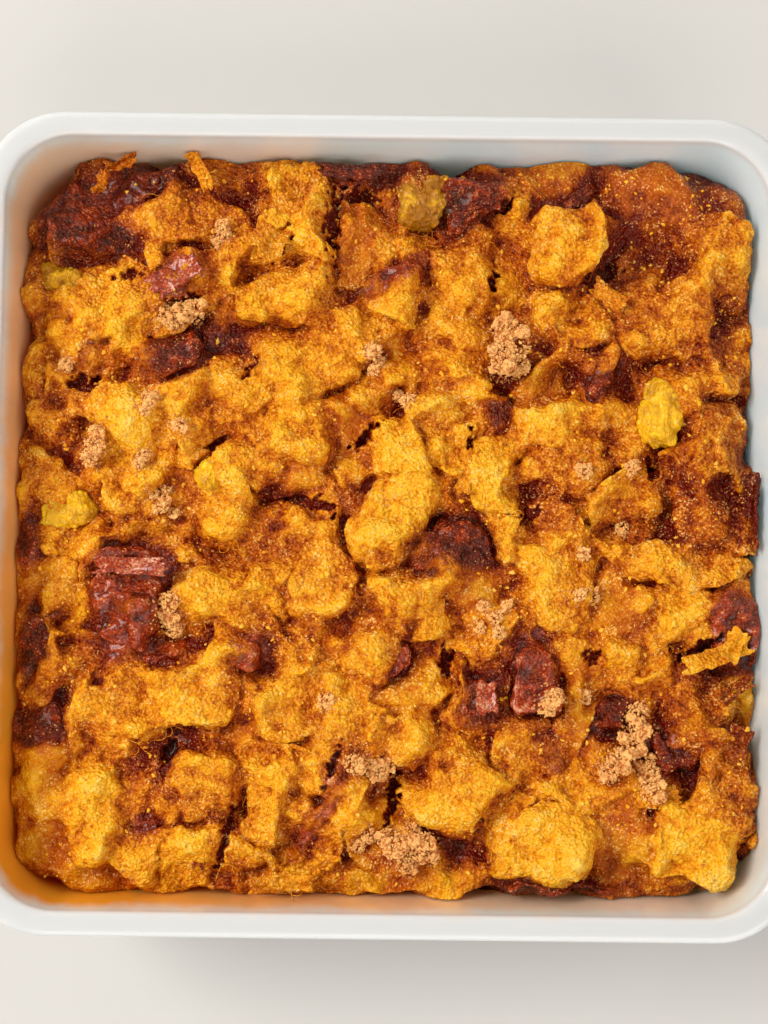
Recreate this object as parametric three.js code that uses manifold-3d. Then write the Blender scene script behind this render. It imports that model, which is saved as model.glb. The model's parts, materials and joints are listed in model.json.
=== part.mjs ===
// A square milk-glass baking dish filled with bread pudding: torn bread set in baked custard, dark crusts,
// pieces of yellow fruit and clumps of brown sugar on top.
// Units are millimetres, +Z is up and +Y is the far side. The origin is the middle of the dish's underside.

import * as THREE from 'three';
import { mergeVertices } from 'three/addons/utils/BufferGeometryUtils.js';
import Module from 'manifold-3d';

// The dish: half widths from its middle, and heights above its underside.
const DISH_HEIGHT = 52;
const RIM_HALF = 108;
const RIM_EDGE = 2;
const LIP_LOW = 45;
const MOUTH_HALF = 101.5;
const MOUTH_HEIGHT = 50.3;
const WALL_OUT_HALF = 105.2;
const FOOT_HALF = 93;
const FOOT_BEND_HALF = 101.6;
const FOOT_BEND_TOP = 9;
const FLOOR = 5.6;
const FLOOR_HALF = 89;
const FLOOR_BEND_HALF = 96.6;
const FLOOR_BEND_TOP = 13;
const BEND_STEPS = 4;

// The dish's corners, seen from above: the radius at the rim, and how much of each millimetre inwards it loses.
const CORNER_RADIUS = 22;
const CORNER_SHRINK = 0.65;
const CORNER_STEPS = 6;
const SIDE_STEPS = 3;

// The pudding: the bare mass that the pieces stand in, and the limits of everything in the dish.
const GAP = 0.3;
const MASS_HALF = 98;
const MASS_TOP = 35;
const MASS_CELLS = 8;
const MASS_CORNER_PULL = 0.083;
const MASS_CORNER_POWER = 6;
const MASS_EDGE_WEAR = 2;
const MASS_ROUGHNESS = 1.3;
const PIECE_DEPTH = 15;
const SMALL_SIDE = 14;
const FRUIT_DEPTH = 9;
const TORN_UNEVENNESS = 0.14;
const SOCKET_SPARE = 0.5;

// The first seed of each kind's random numbers.
const SEEDS = { mass: 1, flake: 2, piece: 100, fruit: 600, clump: 700, crumb: 900 };

// How far out a piece's points lie, by the number of directions in which they are outermost: in fruit,
// which starts as a ball, the slanting ones go out, towards a block's corners.
const PIECE_SHARES = [1, 1.02, 0.94, 0.8];
const FRUIT_SHARES = [1, 1, 1.18, 1.25];

// What shows on top, a row for each piece: x, y, length, width, turn, height of its top, and the degrees
// that its top leans towards +X and towards +Y.
const BREAD = [
  [-54, 83, 25, 13, 8, 41, -6, 4],
  [-74, 59, 23, 20, 0, 41, -6, 6],
  [-25, 82, 17, 28, 0, 44, -8, 4],
  [-33, 80, 9, 16, 0, 41, -4, 6],
  [-41, 69, 15, 16, 20, 40, 0, 4],
  [-2, 74, 7, 17, 0, 38, 0, 0],
  [6, 76, 14, 8, 0, 39, 0, 6],
  [19, 62, 19, 33, 0, 41, -3, 3],
  [33, 83, 9, 15, 0, 39, 4, 0],
  [50, 77, 22, 16, 20, 45, -8, 6],
  [89, 74, 17, 24, 0, 42, -8, 3],
  [52, 57, 20, 17, 10, 41, -4, 6],
  [77, 57, 25, 22, 0, 42, -2, 3],
  [34, 66, 10, 14, 0, 38, 5, 0],
  [-28, 59, 24, 14, 0, 43, -2, 6],
  [-4, 56, 26, 17, 28, 43, 4, -10],
  [-13, 48, 16, 12, 40, 40, 0, -6],
  [-22, 41, 26, 17, 30, 43, -6, 4],
  [-34, 36, 10, 12, 0, 41, 0, 4],
  [-68, 24, 24, 28, -10, 42, -4, 2],
  [-53, 31, 16, 18, 10, 41, 0, 4],
  [-54, 19, 14, 10, 20, 40, 0, -4],
  [19, 43, 18, 9, 0, 40, 0, 4],
  [15, 32, 13, 10, 0, 40, -4, 4],
  [-25, 25, 22, 14, 0, 42, -6, 4],
  [4, 20, 13, 17, 0, 42, -4, 6],
  [17, 20, 14, 15, 0, 40, 0, 0],
  [30, 14, 12, 18, 0, 41, -4, 4],
  [87, 39, 22, 14, 5, 42, -2, 4],
  [90, 21, 16, 20, 0, 41, 6, 0],
  [48, 27, 23, 14, 0, 42, -4, 6],
  [65, 25, 10, 19, 0, 40, 0, 0],
  [66, 7, 15, 13, 0, 42, -2, 8],
  [-84, -7, 14, 10, 0, 39, -6, 4],
  [-70, 8, 14, 10, 0, 40, 0, 0],
  [-62, -4, 18, 11, 0, 40, 0, 4],
  [-39, 12, 12, 16, 0, 41, -6, 2],
  [-42, 1, 15, 9, 0, 40, -4, 0],
  [3, 1, 23, 13, 50, 43, -10, 8],
  [-17, -5, 12, 12, 0, 38, 0, 0],
  [46, -13, 18, 26, 5, 42, -8, 4],
  [62, -4, 14, 12, 0, 39, 0, 4],
  [81, -11, 32, 11, 3, 42, -2, 8],
  [80, -23, 19, 12, 20, 41, -12, 8],
  [-44, -18, 14, 17, 0, 41, 4, -4],
  [-31, -18, 14, 16, 0, 41, -2, 0],
  [-16, -16, 15, 19, 0, 40, 0, 4],
  [11, -21, 18, 17, 0, 42, -6, 0],
  [-1, -18, 11, 16, 0, 39, 0, 0],
  [-80, -50, 10, 17, 0, 39, -6, 4],
  [-56, -48, 30, 16, 6, 42, -4, 4],
  [-45, -37, 14, 10, 30, 41, -8, 8],
  [-22, -38, 18, 12, 0, 40, 0, 0],
  [-26, -49, 15, 14, 0, 42, -4, 6],
  [-6, -36, 18, 11, 0, 41, 0, 6],
  [-7, -47, 15, 11, 0, 41, 0, 0],
  [56, -27, 14, 12, 0, 38, 0, -6],
  [64, -40, 12, 17, 0, 40, 0, 0],
  [73, -37, 8, 17, 0, 40, -4, 4],
  [-9, -57, 21, 13, 12, 42, -8, 10],
  [22, -58, 14, 14, 0, 39, 0, 0],
  [-23, -60, 12, 10, 0, 39, 0, 0],
  [-76, -77, 14, 26, 0, 41, -4, 4],
  [-47, -70, 16, 16, 0, 41, -8, 6],
  [-31, -71, 14, 24, 0, 42, -6, 4],
  [-11, -79, 27, 8, 66, 42, -10, 4],
  [-19, -66, 10, 12, 0, 40, 0, 0],
  [15, -76, 17, 17, 0, 41, -4, 4],
  [27, -69, 14, 14, 0, 41, 0, 4],
  [40, -62, 11, 14, 0, 40, 0, 0],
  [54, -71, 14, 17, 35, 41, -6, 4],
  [83, -84, 20, 24, 0, 43, -6, 4],
  [-64, -89, 14, 13, 0, 41, -4, 0],
  [-51, -89, 14, 17, 0, 41, 0, -4],
  [-36, -88, 12, 9, -10, 41, -6, 0],
  [-23, -94, 17, 8, 0, 39, 0, -6],
  [44, -86, 22, 18, 0, 43, -8, 6],
];
const SOAKED = [
  [-9, 73, 9, 27, 0, 40, 0, 0],
  [46, 93, 26, 13, -3, 38, -4, 8],
  [75, 89, 29, 17, -10, 40, 2, 8],
  [-31, 47, 12, 9, 0, 38, 0, 0],
  [3, 46, 10, 14, 0, 38, 0, 0],
  [-10, 26, 8, 15, 20, 39, 8, 0],
  [61, -21, 10, 14, 0, 39, 4, 0],
  [6, -48, 16, 10, 0, 39, 0, 0],
  [53, -48, 10, 26, -8, 40, 2, 0],
  [-90, -70, 17, 24, 0, 38, -6, 0],
  [-2, -79, 13, 13, 0, 38, 8, -4],
  [-24, -84, 10, 12, 0, 38, 0, 0],
  [14, -93, 12, 9, 0, 38, 0, -6],
  [66, -88, 12, 15, 0, 38, 0, -4],
];
const TOASTED = [
  [-89, 25, 17, 22, 0, 40, -6, 2],
  [49, 46, 13, 10, 5, 40, -4, 0],
  [51, 15, 18, 12, 0, 39, 0, 0],
  [89, 2, 21, 19, -5, 41, 2, 4],
  [-60, 5, 14, 8, 0, 38, 0, 0],
  [84, -50, 16, 17, 0, 43, -6, 8],
  [-65, -70, 10, 14, 0, 38, 0, 0],
  [92, -67, 17, 22, 0, 42, 4, 2],
  [26, -93, 14, 10, 0, 38, 0, -6],
];
const CRUST = [
  [-83, 76, 26, 15, -12, 39, 4, -16],
  [-83, 84, 22, 9, 15, 38, -6, 22],
  [-62, 93, 17, 11, -5, 40, -8, 6],
  [-58, 65, 21, 9, 33, 41, -12, 14],
  [23, 88, 12, 19, -10, 42, -10, 6],
  [50, 89, 18, 6, 38, 40, 4, -10],
  [57, 70, 17, 9, 30, 38, 8, -10],
  [-3, 63, 20, 5, 25, 43, -6, 14],
  [-59, 45, 20, 8, 24, 40, -4, -8],
  [58, 43, 13, 14, 0, 38, -4, -4],
  [-95, -6, 10, 11, 0, 38, -6, 0],
  [17, -6, 22, 13, -5, 41, 6, -10],
  [92, -27, 12, 19, 0, 41, 14, -4],
  [-68, -25, 17, 21, 0, 43, -4, 2],
  [-61, -34, 21, 6, 12, 40, 0, -12],
  [-90, -32, 15, 20, 0, 39, -4, 0],
  [42, -43, 9, 20, 0, 43, -4, 4],
  [-15, -77, 26, 4, 66, 41, -14, 6],
  [77, -60, 9, 13, 20, 40, -4, 0],
];
const FRUIT = [
  [-89, 65, 13, 8, -15, 38, -8, 0],
  [9, 88, 13, 14, 0, 41, 0, 8],
  [75, 31, 11, 17, -20, 42, -6, 4],
  [-86, 2, 12, 9, 0, 39, -4, 0],
  [-46, 12, 9, 8, 0, 42, 0, 6],
];

// A thin flake of crust stands against the dish's +X wall: its middle, its size, how much thicker its foot
// and thinner its top are, how far its top's ends hang below the middle, and how ragged that edge is.
const FLAKE = {
  x: 98.6, y: 3, thickness: 1.8, length: 16, foot: 33, top: 46,
  footShare: 1.6, topShare: 0.8, arch: 2.5, ragged: 2,
};

// Clumps of brown sugar, each a run of crumbs: x, y and radius.
const SUGAR_CLUMPS = [
  [[32, 53, 3.4], [34, 48, 4.6], [31.5, 44, 3.8], [35.5, 43, 3.2]],
  [[68, -50, 2.9], [68.5, -54.5, 3], [66.5, -59, 3.4], [62.5, -62.5, 3.2], [60.5, -66, 2.8], [71, -66, 3],
    [72, -70.5, 3.3], [70, -63, 2.6]],
  [[2, -84, 2.8], [6, -86, 4.2], [11, -86, 3.8], [7, -90, 2.8]],
  [[-58.5, 55, 3], [-55, 56, 3.2], [-52, 57, 2.8]],
  [[-77, 23, 2.3], [-77.6, 19.4, 2.7], [-79, 16, 2.3]],
  [[43.4, -48.6, 2.2], [45, -46, 2.3]],
  [[-57, -22, 2.7], [-57.5, -26, 3], [-56, -29.5, 2.1]],
  [[-7, -64, 2.6], [-3.6, -65, 2.3], [-1, -66, 2.9], [1.6, -64.6, 2.1]],
];
const CRUMB_UNEVENNESS = 0.3;
const CRUMB_FLATNESS = 0.75;
const CRUMB_LIFT = 0.25;
const CLUMP_FOLLOW = 0.5;

// Single crumbs of sugar, baked on: x, y and radius.
const CRUMBS = [
  [-45, 80, 2], [-46, 76, 1.8], [-63, 32, 2.2], [-55, 25, 2], [-65, 17, 1.9], [-4, 46, 2.3], [-3, 42, 1.9],
  [6, 33, 1.9], [53, 14, 1.9], [66, 15, 2], [-87, 42, 2], [-60, 4, 2.2], [56, -19, 1.9], [52, -19, 1.7],
  [53, -8, 1.7], [-3, -83, 2.1], [-6, -86, 1.9], [54, -46, 1.9], [-15, -48, 2.2], [64, -1, 1.8],
];

const wasm = await Module();
wasm.setup();

// Random numbers from 0 to 1 that come out the same each time.
function seeded(seed) {
  let state = seed;
  return () => {
    state = (state + 0x6d2b79f5) | 0;
    let mixed = Math.imul(state ^ (state >>> 15), 1 | state);
    mixed = (mixed + Math.imul(mixed ^ (mixed >>> 7), 61 | mixed)) ^ mixed;
    return ((mixed ^ (mixed >>> 14)) >>> 0) / 4294967296;
  };
}

// A geometry with its shared vertices merged, and only its positions kept.
function merged(geometry) {
  geometry.deleteAttribute('normal');
  geometry.deleteAttribute('uv');
  return mergeVertices(geometry);
}

function solid(geometry) {
  const { array } = geometry.getAttribute('position');
  const corners = geometry.index.array;
  const triangles = [];
  for (let i = 0; i < corners.length; i += 3) {
    const [a, b, c] = corners.subarray(i, i + 3);
    if (a !== b && b !== c && c !== a) triangles.push(a, b, c);
  }
  const mesh = new wasm.Mesh({
    numProp: 3,
    vertProperties: new Float32Array(array),
    triVerts: new Uint32Array(triangles),
  });
  return new wasm.Manifold(mesh);
}

function geometryOf(manifold) {
  const mesh = manifold.getMesh();
  const geometry = new THREE.BufferGeometry();
  geometry.setAttribute('position', new THREE.BufferAttribute(mesh.vertProperties, 3));
  geometry.setIndex(new THREE.BufferAttribute(mesh.triVerts, 1));
  geometry.computeVertexNormals();
  return geometry;
}

// The largest of a solid's bodies, without the hollows that its parts closed off.
function largest(manifold) {
  return manifold.decompose().reduce((best, body) => (body.volume() > best.volume() ? body : best));
}

function union(solids) {
  return solids.reduce((whole, piece) => whole.add(piece));
}

// A point of a square ring with round corners. Each quarter has its corner's arc first, and then its side.
function ringPoint(half, step) {
  const radius = Math.max(0, CORNER_RADIUS - (RIM_HALF - half) * CORNER_SHRINK);
  const straight = half - radius;
  const quarterSteps = CORNER_STEPS + SIDE_STEPS;
  const quarter = Math.floor(step / quarterSteps);
  const local = step % quarterSteps;
  const angle = (Math.min(local, CORNER_STEPS) / CORNER_STEPS) * (Math.PI / 2);
  const along = Math.max(0, local - CORNER_STEPS) / SIDE_STEPS;
  const point = new THREE.Vector2(straight * (1 - 2 * along), straight);
  point.x += radius * Math.cos(angle);
  point.y += radius * Math.sin(angle);
  return point.rotateAround(new THREE.Vector2(), (quarter * Math.PI) / 2);
}

// A profile of half widths and heights, carried round a square with round corners.
function squareLathe(profile) {
  const steps = 4 * (CORNER_STEPS + SIDE_STEPS);
  const geometry = new THREE.LatheGeometry(profile, steps);
  const position = geometry.getAttribute('position');
  for (let i = 0; i < position.count; i += 1) {
    const { x: half, y: height } = profile[i % profile.length];
    const point = ringPoint(half, Math.floor(i / profile.length) % steps);
    position.setXYZ(i, point.x, point.y, height);
  }
  return solid(merged(geometry));
}

// The dish's inside, from the middle of its floor out and up to its mouth, moved inwards by a gap.
function insidePath(gap) {
  const path = new THREE.Path();
  path.moveTo(0, FLOOR + gap);
  path.lineTo(FLOOR_HALF, FLOOR + gap);
  path.quadraticCurveTo(FLOOR_BEND_HALF - gap, FLOOR + gap, FLOOR_BEND_HALF - gap, FLOOR_BEND_TOP);
  path.lineTo(MOUTH_HALF - gap, MOUTH_HEIGHT);
  return path;
}

function makeDish() {
  const outside = new THREE.Path();
  outside.moveTo(0, 0);
  outside.lineTo(FOOT_HALF, 0);
  outside.quadraticCurveTo(FOOT_BEND_HALF - 1, 0, FOOT_BEND_HALF, FOOT_BEND_TOP);
  outside.lineTo(WALL_OUT_HALF, LIP_LOW - RIM_EDGE);
  outside.quadraticCurveTo(WALL_OUT_HALF, LIP_LOW, RIM_HALF, LIP_LOW + RIM_EDGE);
  outside.lineTo(RIM_HALF, DISH_HEIGHT - RIM_EDGE);
  outside.quadraticCurveTo(RIM_HALF, DISH_HEIGHT, RIM_HALF - RIM_EDGE, DISH_HEIGHT);
  outside.lineTo(MOUTH_HALF + RIM_EDGE, DISH_HEIGHT);
  outside.quadraticCurveTo(MOUTH_HALF, DISH_HEIGHT, MOUTH_HALF, MOUTH_HEIGHT);
  const inside = insidePath(0).getPoints(BEND_STEPS).reverse();
  return squareLathe([...outside.getPoints(BEND_STEPS), ...inside.slice(1)]);
}

// The room inside the dish, up to its mouth.
function makeRoom() {
  const path = insidePath(GAP);
  path.lineTo(0, MOUTH_HEIGHT);
  return squareLathe(path.getPoints(BEND_STEPS));
}

// The bare mass: a square with wide round corners, an uneven edge and an uneven top.
function makeMass() {
  const random = seeded(SEEDS.mass);
  const geometry = merged(new THREE.BoxGeometry(2, 2, 2, MASS_CELLS, MASS_CELLS, 1));
  const position = geometry.getAttribute('position');
  for (let i = 0; i < position.count; i += 1) {
    const u = position.getX(i);
    const v = position.getY(i);
    const atEdge = Math.max(Math.abs(u), Math.abs(v)) > 1 - 1 / MASS_CELLS;
    const half = MASS_HALF - (atEdge ? MASS_EDGE_WEAR * random() : 0);
    const rise = MASS_ROUGHNESS * (2 * random() - 1);
    const x = u * half * (1 - MASS_CORNER_PULL * v ** MASS_CORNER_POWER);
    const y = v * half * (1 - MASS_CORNER_PULL * u ** MASS_CORNER_POWER);
    position.setXYZ(i, x, y, position.getZ(i) > 0 ? MASS_TOP + rise : 0);
  }
  return solid(geometry);
}

// A unit-sized shape brought to its row's size, turn, lean and place. Spare makes it larger all round.
function placed(geometry, [x, y, length, width, turn, top, leanX, leanY], depth, spare) {
  const lean = new THREE.Euler(-leanY * THREE.MathUtils.DEG2RAD, leanX * THREE.MathUtils.DEG2RAD, 0);
  geometry.scale(length + 2 * spare, width + 2 * spare, depth + 2 * spare);
  geometry.rotateZ(turn * THREE.MathUtils.DEG2RAD);
  geometry.applyMatrix4(new THREE.Matrix4().makeRotationFromEuler(lean));
  geometry.translate(x, y, top - depth / 2);
  return solid(geometry);
}

// Each point of a unit-sized shape is drawn in or out a little, and its edges and corners are drawn in.
function torn(geometry, seed, shares) {
  const random = seeded(seed);
  const position = geometry.getAttribute('position');
  const point = new THREE.Vector3();
  for (let i = 0; i < position.count; i += 1) {
    point.fromBufferAttribute(position, i);
    const outermost = point.toArray().filter((value) => Math.abs(value) > 0.25).length;
    point.multiplyScalar(shares[outermost] * (1 + TORN_UNEVENNESS * (random() - 0.5)));
    position.setXYZ(i, point.x, point.y, point.z);
  }
  return geometry;
}

function makePiece(row, seed) {
  const [, , length, width] = row;
  const cells = [length, width].map((side) => (side > SMALL_SIDE ? 2 : 1));
  const block = merged(new THREE.BoxGeometry(1, 1, 1, ...cells, 1));
  return placed(torn(block, seed, PIECE_SHARES), row, PIECE_DEPTH, 0);
}

function makeFruit(row, seed, spare = 0) {
  const ball = merged(new THREE.IcosahedronGeometry(0.5, 1));
  return placed(torn(ball, seed, FRUIT_SHARES), row, FRUIT_DEPTH, spare);
}

function makeFlake({ x, y, thickness, length, foot, top, footShare, topShare, arch, ragged }) {
  const random = seeded(SEEDS.flake);
  const geometry = merged(new THREE.BoxGeometry(thickness, length, top - foot, 1, 5, 3));
  const position = geometry.getAttribute('position');
  const height = top - foot;
  for (let i = 0; i < position.count; i += 1) {
    const up = position.getZ(i) / height + 0.5;
    const out = (2 * position.getY(i)) / length;
    const drop = arch * out ** 2 + (up > 0.5 ? ragged * random() : 0);
    const share = THREE.MathUtils.lerp(footShare, topShare, up);
    position.setXYZ(i, position.getX(i) * share, position.getY(i), position.getZ(i) - drop * up);
  }
  geometry.translate(x, y, (foot + top) / 2);
  return solid(geometry);
}

// The height of a solid's upper surface at a place.
function surfaceHeight(mesh, x, y) {
  const ray = new THREE.Raycaster(new THREE.Vector3(x, y, DISH_HEIGHT), new THREE.Vector3(0, 0, -1));
  return ray.intersectObject(mesh)[0].point.z;
}

// One crumb of sugar, with its middle a little above the height it lies at.
function makeCrumb([x, y, radius], height, seed, spare = 0) {
  const random = seeded(seed);
  const geometry = merged(new THREE.IcosahedronGeometry(1, 0));
  const position = geometry.getAttribute('position');
  for (let i = 0; i < position.count; i += 1) {
    const reach = radius * (1 + CRUMB_UNEVENNESS * (random() - 0.5)) + spare;
    position.setXYZ(i, position.getX(i) * reach, position.getY(i) * reach, position.getZ(i) * reach);
  }
  geometry.scale(1, 1, CRUMB_FLATNESS);
  geometry.translate(x, y, height + CRUMB_LIFT * radius);
  return solid(geometry);
}

// A clump's crumbs keep near its mean height, so that it holds together across a dip.
function makeClump(crumbs, clumpNumber, surface, spare = 0) {
  const heights = crumbs.map(([x, y]) => surfaceHeight(surface, x, y));
  const mean = heights.reduce((sum, height) => sum + height, 0) / heights.length;
  const rows = crumbs.map((crumb, i) => {
    const height = mean + CLUMP_FOLLOW * (heights[i] - mean);
    return makeCrumb(crumb, height, SEEDS.clump + 10 * clumpNumber + i, spare);
  });
  return union(rows);
}

// The finishes.
const glass = new THREE.MeshStandardMaterial({ color: '#f0f0ee', roughness: 0.18, metalness: 0 });
const bread = new THREE.MeshStandardMaterial({ color: '#c8741f', roughness: 0.55, metalness: 0 });
const fruit = new THREE.MeshStandardMaterial({ color: '#c08a1c', roughness: 0.35, metalness: 0 });
const sugar = new THREE.MeshStandardMaterial({ color: '#d9a066', roughness: 0.8, metalness: 0 });

function node(name, manifold, material) {
  const mesh = new THREE.Mesh(geometryOf(manifold), material);
  mesh.name = name;
  return mesh;
}

const room = makeRoom();
const shownPieces = [...BREAD, ...SOAKED, ...TOASTED, ...CRUST];
const heap = union([
  makeMass(),
  ...shownPieces.map((row, i) => makePiece(row, SEEDS.piece + i)),
  makeFlake(FLAKE),
]).intersect(room);
const surface = new THREE.Mesh(geometryOf(heap), bread);

const fruitPieces = FRUIT.map((row, i) => makeFruit(row, SEEDS.fruit + i).intersect(room));
const clumps = SUGAR_CLUMPS.map((crumbs, i) => makeClump(crumbs, i, surface));
const sockets = [
  ...FRUIT.map((row, i) => makeFruit(row, SEEDS.fruit + i, SOCKET_SPARE)),
  ...SUGAR_CLUMPS.map((crumbs, i) => makeClump(crumbs, i, surface, SOCKET_SPARE)),
];
const bakedCrumbs = CRUMBS.map((crumb, i) => {
  const [x, y] = crumb;
  return makeCrumb(crumb, surfaceHeight(surface, x, y), SEEDS.crumb + i);
});
const pudding = largest(largest(union([heap, ...bakedCrumbs])).subtract(union(sockets)));

const group = new THREE.Group();
group.add(node('dish', makeDish(), glass));
group.add(node('pudding', pudding, bread));
fruitPieces.forEach((piece, i) => group.add(node(`fruit_${i + 1}`, piece, fruit)));
clumps.forEach((clump, i) => group.add(node(`sugar_clump_${i + 1}`, clump, sugar)));

export default group;
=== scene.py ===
"""A baked bread pudding in its square milk-glass dish.

The dish, the soaked bread under the top, the torn bread and crusts, the fruit, the flakes, the fibres, the
crumbs and the brown sugar are made here round the frame. The sizes and tables at the top are in
millimetres, but for the studio's, and places are from the middle of the dish's underside. The studio and
the finishes are in metres.
"""

import json
import math
import random
from contextlib import contextmanager

import bpy
import numpy as np
from bpy.props import FloatProperty, FloatVectorProperty, IntProperty, PointerProperty
from mathutils import Euler, Matrix, Vector, noise

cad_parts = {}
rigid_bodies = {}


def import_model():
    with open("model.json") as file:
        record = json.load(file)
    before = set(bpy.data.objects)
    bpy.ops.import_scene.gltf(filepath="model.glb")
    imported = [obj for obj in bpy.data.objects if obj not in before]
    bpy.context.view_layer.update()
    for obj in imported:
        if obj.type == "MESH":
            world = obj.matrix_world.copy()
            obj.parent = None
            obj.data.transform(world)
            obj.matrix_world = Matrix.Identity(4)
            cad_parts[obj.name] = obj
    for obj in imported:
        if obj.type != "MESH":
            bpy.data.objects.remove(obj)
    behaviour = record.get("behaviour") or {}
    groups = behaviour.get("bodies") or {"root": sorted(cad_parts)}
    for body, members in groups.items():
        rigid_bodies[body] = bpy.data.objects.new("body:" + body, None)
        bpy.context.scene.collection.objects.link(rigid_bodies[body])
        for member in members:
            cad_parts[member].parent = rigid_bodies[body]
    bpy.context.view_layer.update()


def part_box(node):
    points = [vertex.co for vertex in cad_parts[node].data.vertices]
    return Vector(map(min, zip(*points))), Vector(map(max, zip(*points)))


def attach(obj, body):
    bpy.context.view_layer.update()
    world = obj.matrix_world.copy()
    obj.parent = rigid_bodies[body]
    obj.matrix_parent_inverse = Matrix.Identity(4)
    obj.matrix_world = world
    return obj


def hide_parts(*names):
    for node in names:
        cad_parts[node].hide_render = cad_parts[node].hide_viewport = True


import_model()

bl_info = {
    "name": "Bread Pudding in Its Dish",
    "version": (1, 0, 0),
    "blender": (4, 5, 0),
    "location": "3D View > Sidebar > Pudding",
    "description": "A baked bread pudding in a square milk-glass dish",
    "category": "Object",
}

MM = 0.001
BODY = "root"

# The dish, worked out from its own box, which gives half its width over the rim, and its height.
_, DISH_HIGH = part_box("dish")
RIM_HALF = DISH_HIGH.x / MM
DISH_HEIGHT = DISH_HIGH.z / MM
RIM_EDGE = 2
LIP_LOW = DISH_HEIGHT - 7
MOUTH_HALF = RIM_HALF - 6.5
MOUTH_HEIGHT = DISH_HEIGHT - 1.7
WALL_OUT_HALF = RIM_HALF - 2.8
FOOT_HALF = 93
FOOT_BEND_HALF = 101.6
FOOT_BEND_TOP = 9
FLOOR = 5.6
FLOOR_HALF = 89
FLOOR_BEND_HALF = 96.6
FLOOR_BEND_TOP = 13
CORNER_RADIUS = 22
CORNER_SHRINK = 0.65
BEND_STEPS = 7
CORNER_STEPS = 14

# The heap of food: how deep its pieces go, the mass under them, and the fused skin, which is cut off below a
# height and parted at seams. Bread grows a little as it is fused, and all of it keeps a gap to the wall.
PIECE_DEPTH = 15
FRUIT_DEPTH = 9
MASS_HALF = 98
MASS_TOP = 35
MASS_CORNER = 28
SKIN_HALF = 99.3
SKIN_CORNER = 22
CUT_HEIGHT = 30
SEAMS = (-32, 32)
GROWTH = 1.6
WALL_GAP = 0.35

# What shows on top, a row for each piece: x, y, length, width, turn, height of its top, and the degrees that
# its top leans towards +X and +Y. Pale bread is the brightest, and soaked bread is smooth with custard.
PALE_BREAD = [
    (-74, 59, 23, 20, 0, 41, -6, 6), (50, 77, 22, 16, 20, 45, -8, 6), (89, 74, 17, 24, 0, 42, -8, 3),
    (-22, 41, 26, 17, 30, 43, -6, 4), (4, 20, 13, 17, 0, 42, -4, 6), (30, 14, 12, 18, 0, 41, -4, 4),
    (66, 7, 15, 13, 0, 42, -2, 8), (3, 1, 23, 13, 50, 43, -10, 8), (81, -11, 32, 11, 3, 42, -2, 8),
    (80, -23, 19, 12, 20, 41, -12, 8), (-76, -77, 14, 26, 0, 41, -4, 4), (-31, -71, 14, 24, 0, 42, -6, 4),
    (-11, -79, 27, 8, 66, 42, -10, 4), (15, -76, 17, 17, 0, 41, -4, 4), (83, -84, 20, 24, 0, 43, -6, 4),
    (44, -86, 22, 18, 0, 43, -8, 6), (-26, -49, 15, 14, 0, 42, -4, 6), (-45, -37, 14, 10, 30, 41, -8, 8),
    (11, -21, 18, 17, 0, 42, -6, 0), (-80, -23, 6, 16, 0, 39, -6, 0), (48, 27, 23, 14, 0, 42, -4, 6),
]
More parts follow.
